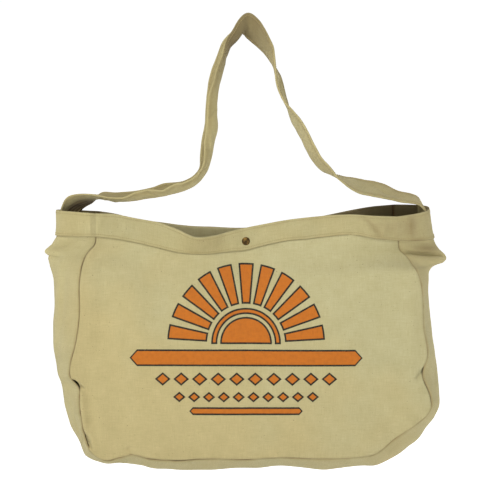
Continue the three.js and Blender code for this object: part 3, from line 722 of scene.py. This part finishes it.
w = spread(-1, 1, 40, 0.004)[None, :]
end_drops = np.concatenate([np.linspace(-1, 0, 17), np.linspace(0, 1, 190)[1:]])[:, None]
under = np.linspace(0, 1, 190)[1:-1, None]
strips = [end_section("left", end_drops), bottom_section(under), end_section("right", end_drops[::-1])]
points = np.concatenate([gusset_points(section, w) for section in strips])
out_way = np.concatenate([section["out"] for section in strips])
length = lengths_along(points, 0)[:, w.shape[1] // 2][:, None] + 0 * w
across = lengths_along(points, 1)
near_front, near_back = across, across[:, -1:] - across
normals = -normals_of(points)
drops = np.concatenate([end_drops, np.ones_like(under), end_drops[::-1]])
below = np.clip(drops * 30, 0, 1)
total = length[-1, 0]
# Each fold: from and to, as lengths along the strip and across it, then width and height in CREASEs.
gusset_folds = [
    (0.044, 0.072, 0.080, 0.072, 11, 3.4),
    (0.0735, 0.050, 0.0735, 0.094, 3, 2.2),
    (0.0795, 0.040, 0.0795, 0.104, 2.6, -3),
    (0.045, 0.022, 0.066, 0.060, 4, -2.4),
    (0.075, 0.035, 0.170, 0.050, 8, 2.4),
    (0.060, 0.100, 0.150, 0.085, 8, 2.8),
    (0.090, 0.030, 0.260, 0.045, 9, -2.8),
    (0.100, 0.110, 0.260, 0.095, 9, -2.8),
    (0.250, 0.030, 0.380, 0.050, 8, 2.6),
    (0.320, 0.020, 0.390, 0.024, 4.5, -3),
    (0.430, 0.020, 0.400, 0.090, 12, 3),
    (0.520, 0.018, 0.545, 0.080, 12, 2.8),
    (0.700, 0.030, 0.730, 0.110, 16, 2.2),
    (total - 0.430, 0.020, total - 0.400, 0.090, 12, 2.8),
    (total - 0.330, 0.020, total - 0.260, 0.070, 10, -2.6),
    (total - 0.240, 0.100, total - 0.120, 0.080, 11, 2.6),
    (total - 0.094, 0.012, total - 0.094, 0.066, 7, 3.6),
    (total - 0.079, 0.008, total - 0.0855, 0.070, 3.4, -5.2),
    (total - 0.067, 0.012, total - 0.074, 0.066, 5.5, 4),
    (total - 0.048, 0.020, total - 0.056, 0.060, 4, -2.4),
    (0.385, 0.004, 0.400, 0.026, 3.2, -3),
    (0.440, 0.004, 0.452, 0.030, 3.6, -3.4),
    (0.462, 0.006, 0.490, 0.030, 4, 2.8),
]
relief = fold_heights(length, across, gusset_folds) * below
relief += (0.0014 * rumple(length, across, 0.07, 71) + 0.0008 * rumple(length, across, 0.026, 72)) * below
relief += (seam_relief(near_front, length, 73) + seam_relief(near_back, length, 75)) * below
points = points + normals * relief[..., None]
for edge, face in ((near_front, "front"), (near_back, "back")):
    points = roll_in(points, edge, inward_of({"out": out_way}, face))
points[:, 0] += SEAM_GAP * unit(points[:, 1] - points[:, 0])
points[:, -1] += SEAM_GAP * unit(points[:, -2] - points[:, -1])
seams = np.minimum(near_front, near_back)
EAR_AT = (total - 0.068, 0.045)
# Painted shade on the ear's downturned facet near the right end of the strip.
ear_shadow = hump(length - EAR_AT[0], 0.011) * hump(across - EAR_AT[1], 0.026)
# Painted shade: a dark line along each seam and a faint broad darkening beside them, plus the ear's shade.
grime_and_shade = 0.55 * hump(seams, 0.0014) + 0.05 * np.exp(-seams / 0.02) + 0.42 * ear_shadow
gusset_paint = canvas_finish("gusset_canvas", colour(197, 190, 145), colour(199, 184, 132), canvas_shade)
# The grid runs the other way round than the panels', so it is turned to face outwards.
flat = np.stack([length, across], -1)
# The inner face is painted in shade (inside=0.70).
gusset = cloth_mesh(
    "gusset_cloth", points[:, ::-1], CANVAS, gusset_paint, flat[:, ::-1], grime_and_shade[:, ::-1], inside=0.70,
)
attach(gusset, "root")
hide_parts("gusset")

# Mouth band. A strip of the same duck turned under at both edges and sewn round the outside of the
# mouth, over the panels and the gusset, whose seams show through it as faint ridges.
BAND = 0.0018
BAND_GAP = 0.0003
BAND_OFFSET = CANVAS / 2 + BAND_GAP + BAND / 2
rows = spread(0, -1, 15, 0.012)[None, :]
front_u = np.linspace(0, 1, 190)[:, None]
between = np.linspace(-1, 1, 40)[1:-1, None]
flat_rows = rows[0][:, None]


def end_column(side, ws):
    """The gusset's stretch of the mouth at one end, as columns from the hem's lower edge up."""
    section = end_section(side, flat_rows)
    return gusset_points(section, ws[:, 0][None, :]).transpose(1, 0, 2)


ring = [
    mouth_points("front", front_u, rows + 1),
    end_column("right", between),
    mouth_points("back", front_u[::-1], rows + 1),
    end_column("left", between[::-1]),
]
joints = np.cumsum([len(part) for part in ring])
points = np.concatenate(ring)
around = lengths_along(points[:, 0], 0)[:, None]
high = lengths_along(points, 1)
round_mouth = around[-1, 0]
seam_at = [0.0, *around[joints[:3], 0], round_mouth]
relief = BAND_OFFSET + 0.0005 * np.exp(-high / 0.004)
for place in seam_at:
    relief = relief + 0.0002 * hump(around - place, 0.006) - 0.0004 * hump(around - place, 0.0030)
STITCH_IN = 0.0042
tops = high[:, -1:]
for line in (high - STITCH_IN, tops - STITCH_IN - high):
    relief = relief - 0.00035 * hump(line, 0.0012)
bead = 0.5 * rumple(around, high, 0.012, 91) + 0.5 * rumple(around, high * 0.3, 0.024, 92)
relief = relief + 0.0006 * bead + 0.0007 * rumple(around, high, 0.06, 93)
# Creases in the front of the band.
band_folds = drawn(
    (362, 217, 374, 235, 4.5, 1.8),
    (367, 217, 381, 235, 3.8, -0.9),
    (388, 219, 384, 236, 4, 1.6),
    (98, 212, 92, 230, 3.6, -1.4),
    (356, 226, 352, 237, 4, -1.8),
    (408, 213, 413, 240, 4, 1.4),
    (403, 216, 407, 238, 3.5, -1.2),
    (128, 222, 122, 240, 6, 1.2),
    (76, 213, 73, 236, 6, 1),
    (262, 226, 256, 246, 6, -1.4),
    (228, 232, 236, 246, 6, 1.2),
)
x, z = points[..., 0], points[..., 2]
facing = (points[..., 1] < 0.002) * 1.0
relief = relief + fold_heights(x, z, band_folds) * facing
normals = normals_of(points, loop=True)
points = points + normals * relief[..., None]


def soil_and_shade_patch(px, py, wide, tall, lean=0.0):
    """A soft patch on the front of the band, round the place that shows at this pixel of the picture, for
    dirt and for painted crease shadow.
    """
    off_x, off_z = x - at_photo(px, py)[0], z - at_photo(px, py)[1]
    return hump(off_x - off_z * lean, wide) * hump(off_z, tall) * facing


stain = soil_and_shade_patch(412, 224, 0.007, 0.018) + soil_and_shade_patch(417, 240, 0.012, 0.004)
handled = soil_and_shade_patch(396, 228, 0.045, 0.030)
# Painted shadow in a diagonal crease of the band.
crease_shadow = soil_and_shade_patch(374, 226, 0.006, 0.016, lean=-0.8)
ends = hump(np.abs(x) - 0.29, 0.02)
# Stain and handling dirt, the painted crease shadow, a faint darkening at the ends, and a painted shadow line
# along the band's lower edge.
grime_and_shade = 0.30 * stain + 0.26 * handled + 0.20 * crease_shadow + 0.06 * ends + 0.25 * hump(high, 0.0012)
# Painted shade on the band's inner face, darker towards the bag's right end.
inner = 0.35 + 0.35 * np.clip((x - 0.05) / 0.10, 0, 1)
band_paint = canvas_finish("band_canvas", colour(195, 189, 145), colour(196, 182, 130), colour(156, 142, 92))
flat = np.stack([around + 0 * high, high], -1)
band = cloth_mesh("mouth_hem", points, BAND, band_paint, flat, grime_and_shade, inner, loop=True)
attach(band, "root")
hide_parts("mouth_band")

# Lockstitch. Two rows of natural thread hold the band, one near each edge, and two more run along each
# face of the strap. Each stitch is a short bead that dips into the cloth at both of its ends.
STITCH = 0.0031
THREAD = 0.00050
thread_finish = Finish("natural_thread")
twist = thread_finish.noise(2600, 2, vector=thread_finish.node("ShaderNodeTexCoord").outputs["Object"])
thread_tone = thread_finish.mix(twist, colour(188, 174, 126), colour(136, 118, 72))
thread_paint = thread_finish.done(thread_tone, twist, 0.0001, 0.85)


def points_at(wanted, far, line):
    """The points at these lengths along a line, whose own points lie this far along it."""
    return np.stack([np.interp(wanted, far, line[:, k]) for k in range(3)], -1)


def round_faces(sides, rings):
    """The faces between rings of points that follow each other, with this many points in each."""
    beside = [(k, (k + 1) % sides) for k in range(sides)]
    starts = range(0, (rings - 1) * sides, sides)
    return [(r + k, r + after, r + sides + after, r + sides + k) for r in starts for k, after in beside]


def stitch_row(line, normals):
    """The stitches along a line that lies on the cloth, as one array of points and one of faces."""
    far = lengths_along(line, 0)
    count = int(far[-1] / STITCH)
    at = (np.arange(count) + 0.5) * far[-1] / count
    centre, normal = points_at(at, far, line), points_at(at, far, normals)
    along = unit(points_at(at + 0.001, far, line) - points_at(at - 0.001, far, line))
    side = unit(np.cross(along, unit(normal)))
    up = np.cross(side, along)
    rings = table(
        "place thick lift", (-1, 0.3, -1), (-0.7, 0.85, 0.1), (0, 1, 0.45), (0.7, 0.85, 0.1), (1, 0.3, -1),
    )
    turn = np.arange(6) * math.tau / 6
    shape = np.stack([
        np.repeat(rings["place"], 6) * STITCH * 0.46,
        np.outer(rings["thick"], np.cos(turn)).ravel() * THREAD,
        (np.outer(rings["thick"], np.sin(turn)) + rings["lift"][:, None]).ravel() * THREAD,
    ], -1)
    axes = np.stack([along, side, up], 1)
    vertices = centre[:, None, :] + np.einsum("kj,njc->nkc", shape, axes)
    ends = [(0, 5, 4, 3), (0, 3, 2, 1), (24, 25, 26, 27), (24, 27, 28, 29)]
    faces = np.array(round_faces(6, 5) + ends)
    return vertices.reshape(-1, 3), (faces[None] + 30 * np.arange(count)[:, None, None]).reshape(-1, 4)


def stitches(name, rows_of_line):
    """One object that holds all of these rows of stitches."""
    made = [stitch_row(line, normals) for line, normals in rows_of_line]
    starts = np.cumsum([0] + [len(vertices) for vertices, _ in made[:-1]])
    vertices = np.concatenate([vertices for vertices, _ in made])
    faces = np.concatenate([faces + start for (_, faces), start in zip(made, starts)])
    thread = solid(name, vertices.tolist(), faces.tolist(), thread_paint)
    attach(thread, "root")
    return thread


def line_on(points, normals, distance, from_top, thickness, loop=False):
    """A line this far from one edge of a cloth, on its outer face, with its normals."""
    far = lengths_along(points, 1)
    wanted = far[:, -1] - distance if from_top else np.full(len(far), distance)
    line = np.array([points_at(*row) for row in zip(wanted, far, points)])
    normal = np.array([points_at(*row) for row in zip(wanted, far, normals)])
    line = line + unit(normal) * thickness / 2
    if loop:
        line, normal = np.concatenate([line, line[:1]]), np.concatenate([normal, normal[:1]])
    return line, unit(normal)


normals = normals_of(points, loop=True)
band_lines = [line_on(points, normals, STITCH_IN, from_top, BAND, loop=True) for from_top in (False, True)]
stitches("band_stitches", band_lines)

# Shoulder strap. Duck folded over into a strap 48 mm wide and three layers thick, with its ends sewn
# inside the ends of the mouth. The left branch has folded in two along its length like a gutter, and
# the right branch hangs flat and turns edge on twice.
STRAP_WIDTH = 0.048
STRAP = 0.003
# Across, up and aft place the strap's middle, as shares of HALF, HANG and its width. Edge_x and edge_z turn
# it, cup is how far it is curled in degrees, fold how evenly (1) or sharply (0), and slip how far the fold
# lies to one edge, as a share of the width.
strap_rows = table(
    "across up aft edge_x edge_z cup fold slip",
    (-0.925, 0.038, 0.14, -0.77, 0.32, 30, 1, 0),
    (-0.864, 0.054, 0.15, -0.53, 0.29, 45, 1, 0),
    (-0.789, 0.068, 0.15, -0.05, -0.12, 62, 0.6, 0),
    (-0.709, 0.058, 0.12, 0, -0.15, 72, 0.45, 0),
    (-0.656, 0.058, 0.11, 0.02, -0.20, 88, 0.4, 0),
    (-0.612, 0.066, 0.10, 0.02, -0.08, 110, 0.4, 0),
    (-0.528, 0.084, 0.08, 0, -0.03, 114, 0.4, 0),
    (-0.480, 0.089, 0.07, 0.01, -0.10, 110, 0.4, 0),
    (-0.442, 0.098, 0.06, 0.06, -0.30, 98, 0.4, 0),
    (-0.408, 0.108, 0.06, 0.03, -0.13, 118, 0.4, 0),
    (-0.336, 0.125, 0.04, 0.01, -0.03, 100, 0.4, 0),
    (-0.267, 0.161, 0.02, 0.05, -0.05, 90, 0.4, 0),
    (-0.228, 0.213, 0, 0.09, -0.05, 78, 0.4, 0),
    (-0.213, 0.283, -0.02, 0.24, -0.02, 106, 0.4, 0),
    (-0.206, 0.359, -0.04, 0.18, -0.02, 140, 0.4, 0),
    (-0.189, 0.439, -0.04, 0.12, -0.02, 160, 0.4, 0),
    (-0.187, 0.526, -0.04, 0.14, 0, 130, 0.4, 0),
    (-0.184, 0.606, -0.03, 0.09, -0.01, 108, 0.4, 0),
    (-0.170, 0.685, 0, 0.18, -0.05, 102, 0.4, 0),
    (-0.149, 0.754, 0, 0.22, -0.08, 94, 0.4, 0),
    (-0.124, 0.826, 0, 0.23, -0.09, 76, 0.4, 0),
    (-0.102, 0.893, 0, 0.16, -0.07, 88, 0.45, 0),
    (-0.077, 0.927, 0, 0.06, -0.01, 114, 0.5, 0),
    (-0.049, 0.955, 0, -0.02, 0.06, 122, 0.6, 0),
    (-0.024, 0.978, 0, -0.08, 0.40, 94, 0.8, -0.07),
    (0, 1, 0, 0.05, 0.85, 22, 1, -0.10),
    (0.040, 0.968, 0, 0.25, 0.71, 5, 1, 0),
    (0.087, 0.916, 0, 0.25, 0.57, 10, 1, 0),
    (0.126, 0.854, 0, 0.18, 0.40, 15, 1, 0),
    (0.149, 0.784, 0, 0.05, 0.10, 20, 1, 0),
    (0.171, 0.703, 0, -0.16, -0.10, 20, 1, 0),
    (0.208, 0.585, 0, -0.08, -0.04, 20, 1, 0),
    (0.258, 0.493, 0, 0.22, 0.12, 20, 1, 0),
    (0.309, 0.407, 0.02, 0.25, 0.12, 20, 1, 0),
    (0.378, 0.267, 0.04, 0.29, 0.11, 20, 1, 0),
    (0.424, 0.216, 0.06, 0.25, 0.12, 20, 1, 0),
    (0.488, 0.174, 0.08, 0.02, -0.05, 15, 1, 0),
    (0.554, 0.146, 0.09, -0.17, -0.23, 8, 1, 0),
    (0.626, 0.118, 0.10, -0.20, -0.43, 5, 1, 0),
    (0.714, 0.101, 0.11, -0.24, -0.42, 8, 1, 0),
    (0.798, 0.072, 0.12, -0.23, -0.26, 12, 1, 0),
    (0.880, 0.053, 0.13, -0.13, -0.32, 15, 1, 0),
    (0.944, 0.042, 0.12, -0.06, -0.26, 25, 1, 0),
)
SEWN_AT = {"left": 0.375, "right": 0.2}
SEWN_DEEP = 0.87
ring_places = spread(-0.5, 0.5, 35, 0.012)


def strap_centre(row):
    return points_of(row["across"] * HALF, row["aft"] * STRAP_WIDTH, (row["up"] - 1) * HANG + STRAP / 2)


def sewn_rings(side, drops):
    """The strap against the gusset's inside, at these heights of the hem."""
    rings = []
    for drop in drops:
        section = end_section(side, np.array([[drop]]))
        line = gusset_points(section, np.linspace(-1, 1, 161)[None, :])[0]
        far = lengths_along(line, 0)
        found = points_at(far[80] + (SEWN_AT[side] - ring_places) * STRAP_WIDTH, far, line)
        to_front = np.gradient(found, axis=0)
        inward = unit(np.cross(to_front, [0, 0, 1.0])) * (1 if side == "right" else -1)
        rings.append(found + inward * (CANVAS / 2 + SEAM_GAP + STRAP / 2))
    return np.array(rings)


strap_rows["far"] = lengths_along(strap_centre(strap_rows), 0)
stations = np.linspace(0, strap_rows["far"][-1], 430)
row = read(strap_rows, "far", stations)
centre = strap_centre(row)
along = unit(np.gradient(centre, axis=0))
sideways = np.sqrt(np.maximum(0, 1 - row["edge_x"] ** 2 - row["edge_z"] ** 2))
edge = unit(points_of(row["edge_x"], -sideways, row["edge_z"]))
hollow = unit(np.cross(edge, along))
waver = (0.018 * rumple(stations, stations * 0, 0.028, 101) * np.clip(row["cup"] / 90, 0, 1))[:, None]
off_fold = ring_places[None, :] - row["slip"][:, None] - waver
turned = np.sign(off_fold) * np.abs(2 * off_fold) ** row["fold"][:, None]
angle = np.radians(np.maximum(row["cup"], 1))[:, None] / 2 * turned
middle = (angle[:, 1:] + angle[:, :-1]) / 2
gaps = np.diff(ring_places)[None, :] * STRAP_WIDTH


def centred(slopes):
    """How far each point across the strap lies one way, measured from the middle of its reach."""
    reach = np.concatenate([np.zeros((len(stations), 1)), np.cumsum(slopes * gaps, axis=1)], axis=1)
    return reach - (reach.max(axis=1, keepdims=True) + reach.min(axis=1, keepdims=True)) / 2


out_by, up_by = centred(np.cos(middle)), centred(np.sin(middle))
hanging = centre[:, None] + edge[:, None] * out_by[..., None] + hollow[:, None] * up_by[..., None]
sewn = np.linspace(SEWN_DEEP - 1, -1, 12)
points = np.concatenate([sewn_rings("left", sewn), hanging, sewn_rings("right", sewn[::-1])])
# The stiff cloth can't turn sharply along its length, so each ring is softened by its neighbours.
NEIGHBOURS = 6
STIFFNESS = 2.6
kernel = np.exp(-0.5 * (np.arange(-NEIGHBOURS, NEIGHBOURS + 1) / STIFFNESS) ** 2)
kernel /= kernel.sum()
padded = np.concatenate([np.repeat(points[:1], NEIGHBOURS, 0), points, np.repeat(points[-1:], NEIGHBOURS, 0)])
points = sum(weight * padded[i : i + len(points)] for i, weight in enumerate(kernel))
length = lengths_along(points, 0).mean(axis=1, keepdims=True)
across = lengths_along(points, 1)
relief = 0.0013 * rumple(length, across, 0.026, 111) + 0.0007 * rumple(length, across, 0.011, 112)
whole = length[-1, 0]
# From and to, as shares of the strap's length and in metres across it, then width and height.
strap_folds = [
    (whole * a0, b0, whole * a1, b1, width, height)
    for a0, b0, a1, b1, width, height in (
        (0.085, 0.024, 0.125, 0.044, 3, -1.6),
        (0.095, 0.040, 0.120, 0.026, 2.8, 1.4),
        (0.120, 0.028, 0.150, 0.046, 3, -1.6),
        (0.165, 0.046, 0.185, 0.030, 3, -1.8),
        (0.175, 0.044, 0.200, 0.032, 2.8, 1.5),
        (0.225, 0.030, 0.260, 0.045, 3.2, 1.5),
        (0.262, 0.046, 0.280, 0.028, 3, -2),
        (0.300, 0.030, 0.335, 0.042, 3.4, 1.6),
        (0.352, 0.045, 0.368, 0.028, 3, -1.8),
        (0.400, 0.020, 0.450, 0.026, 4, 1.4),
        (0.625, 0.010, 0.660, 0.034, 4, 1.2),
        (0.760, 0.036, 0.790, 0.012, 3.6, -1.2),
        (0.868, 0.010, 0.905, 0.034, 4, 1.4),
    )
]
relief = relief + fold_heights(length, across, strap_folds)
wide = across[:, -1:]
STRAP_STITCH_IN = 0.0045
for line in (across - STRAP_STITCH_IN, wide - STRAP_STITCH_IN - across):
    relief = relief - 0.0004 * hump(line, 0.0012)
relief = relief + 0.0003 * hump(across - wide / 2, 0.004)
points = points + normals_of(points) * relief[..., None]
edges = np.minimum(across, wide - across)
# Painted shade on the strap's left end, where it comes out of the mouth, over all but its front edge, in
# faint stripes.
root = 1 / (1 + np.exp((length - 0.082) / 0.006)) * np.clip((wide * 0.80 - across) / 0.012, 0.15, 1)
root = root * (0.85 + 0.15 * np.sin(across * (math.tau / 0.0065) + 2 * rumple(length, across, 0.02, 121)))
# Painted shade on the underside of the strap around its top.
apex_underside_shade = np.exp(-np.abs((length / whole - 0.505) / 0.085) ** 3)
# Painted shadow of the hanging wire, near the strap's top.
wire_shadow = hump(length / whole - 0.47, 0.020) * hump(across - wide * 0.45, 0.012)
# Painted shade in the hollow of the left branch's lengthwise fold.
gutter = hump(across - wide / 2, 0.012) * np.clip((0.47 - length / whole) / 0.05, 0, 1)
grime_and_shade = 0.16 * hump(edges - 0.006, 0.003)
strap_tones = colour(196, 188, 142), colour(192, 176, 122), colour(152, 138, 88)
strap_paint = canvas_finish("strap_canvas", *strap_tones)
flat = np.stack([length + 0 * across, across], -1)
# Both faces' darkness is painted shade: the fold's hollow and the left end on the inner face; the left end,
# the underside at the top and the wire's shadow on the outer face.
strap = cloth_mesh(
    "strap_cloth", points, STRAP, strap_paint, flat, grime_and_shade,
    inside=0.05 + 0.70 * gutter + 0.5 * root, outside=root + 0.60 * apex_underside_shade + 0.30 * wire_shadow,
)
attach(strap, "root")
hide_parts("strap")
normals = normals_of(points)
strap_lines = [
    line_on(points, face * normals, STRAP_STITCH_IN, from_top, STRAP)
    for face in (1, -1) for from_top in (False, True)
]
stitches("strap_stitches", strap_lines)

# Snap. A spun brass cap with a rolled rim, aged nearly black, clenched through the middle of the hem.
# The socket and the stud inside are the CAD pieces themselves, in the same brass.
brass = Finish("aged_brass")
object_place = brass.node("ShaderNodeTexCoord").outputs["Object"]
tarnish = brass.noise(260, 5, vector=object_place)
worn = (tarnish * 3.2).above(1.25)
brass_tone = brass.mix(worn, colour(58, 44, 22), colour(138, 108, 56))
brass.shader.inputs["Metallic"].default_value = 0.85
brass_paint = brass.done(brass_tone, brass.noise(900, 3, vector=object_place), 0.00008, 0.38)
for node in ("snap_socket", "snap_stud", "snap_cap"):
    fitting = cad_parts[node]
    fitting.data.materials.clear()
    fitting.data.materials.append(brass_paint)
low, high_corner = (Vector(corner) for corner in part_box("snap_cap"))
CAP_RADIUS = (high_corner.x - low.x) / 2
CAP_HIGH = 0.0024
cap_profile = table(
    "radius height",
    (0.00, 1.00), (0.16, 0.99), (0.30, 0.93), (0.42, 0.78), (0.50, 0.58), (0.56, 0.47), (0.62, 0.50),
    (0.72, 0.68), (0.82, 0.74), (0.91, 0.62), (0.97, 0.40), (1.00, 0.18), (0.98, 0.00), (0.00, 0.00),
)
SIDES = 48
ways = np.arange(SIDES) * math.tau / SIDES
rim_y = low.y + CAP_HIGH
middle_x, middle_z = (low.x + high_corner.x) / 2, (low.z + high_corner.z) / 2
vertices = []
for radius, height in zip(cap_profile["radius"], cap_profile["height"]):
    reach = max(radius, 0.002) * CAP_RADIUS
    vertices += [
        (middle_x + reach * math.cos(way), rim_y - height * CAP_HIGH, middle_z + reach * math.sin(way))
        for way in ways
    ]
faces = round_faces(SIDES, len(cap_profile["radius"]))
faces += [tuple(range(SIDES - 1, -1, -1)), tuple(range(len(vertices) - SIDES, len(vertices)))]
cap = solid("snap_cap_spun", vertices, faces, brass_paint)
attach(cap, "root")
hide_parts("snap_cap")

# Floor, sky and lamps: a plain pale floor lies well below the bag and runs on, lit from within, into
# a bright horizon. A wide soft box above the front left lights the bag, a weaker one on the right
# fills it, and one behind it shows the folds of the back.
FLOOR_Z = -1.1
FLOOR_REACH = 40
pale = Finish("pale_paper")
floor_place = pale.node("ShaderNodeTexCoord").outputs["Object"]
fibres = pale.noise(3, 2, vector=floor_place)
flat_place = pale.node("ShaderNodeVectorMath", operation="MULTIPLY")
flat_place.inputs[1].default_value = (1, 1, 0)
away = pale.node("ShaderNodeVectorMath", operation="LENGTH")
pale.join(floor_place, flat_place.inputs[0])
pale.join(flat_place.outputs[0], away.inputs[0])
glow = Reading(pale.tree, away.outputs["Value"]).above(0.1) * 0.74
pale.join(glow.socket, pale.shader.inputs["Emission Strength"])
tone = pale.mix(fibres, (0.80, 0.80, 0.79, 1), (0.83, 0.83, 0.82, 1))
corners = [(x * FLOOR_REACH, y * FLOOR_REACH, FLOOR_Z) for x, y in ((-1, -1), (1, -1), (1, 1), (-1, 1))]
floor = solid("pale_floor", corners, [(0, 1, 2, 3)], pale.done(tone, fibres, 0.0001, 0.9))

scene = bpy.context.scene
scene.view_settings.view_transform = "Standard"
world = bpy.data.worlds.new("studio")
world.use_nodes = True
sky = world.node_tree
sky.nodes["Background"].inputs["Color"].default_value = (1.0, 1.0, 1.0, 1)
direction = sky.nodes.new("ShaderNodeTexCoord")
split = sky.nodes.new("ShaderNodeSeparateXYZ")
height = sky.nodes.new("ShaderNodeMapRange")
for slot, value in (("From Min", 0.05), ("From Max", 0.40), ("To Min", 1.03), ("To Max", 0.36)):
    height.inputs[slot].default_value = value
sky.links.new(direction.outputs["Generated"], split.inputs[0])
sky.links.new(split.outputs["Z"], height.inputs["Value"])
sky.links.new(height.outputs["Result"], sky.nodes["Background"].inputs["Strength"])
scene.world = world
middle = Vector((-0.0017, 0.0, -0.3601))


def softbox(name, place, size, power):
    """A square soft light that faces the bag."""
    lamp = bpy.data.lights.new(name, "AREA")
    lamp.size = size
    lamp.energy = power
    lamp.color = (1.0, 0.985, 0.96)
    held = placed(name, lamp)
    held.location = place
    held.rotation_euler = (middle - Vector(place)).to_track_quat("-Z", "Y").to_euler()


softbox("key_light", (-1.2, -2.0, 1.6), 1.2, 54)
softbox("fill_light", (2.2, -2.0, 0.1), 1.8, 8)
softbox("back_light", (1.5, 2.4, 1.3), 1.5, 34)

SPAN = 0.8055
AWAY = 3.8
RAISED = math.radians(3)
SENSOR = 36
camera_data = bpy.data.cameras.new("camera")
camera_data.sensor_width = SENSOR
camera_data.lens = SENSOR * AWAY / SPAN
camera = placed("camera", camera_data)
camera.location = middle + AWAY * Vector((0, -math.cos(RAISED), math.sin(RAISED)))
camera.rotation_euler = (middle - camera.location).to_track_quat("-Z", "Y").to_euler()
scene.camera = camera
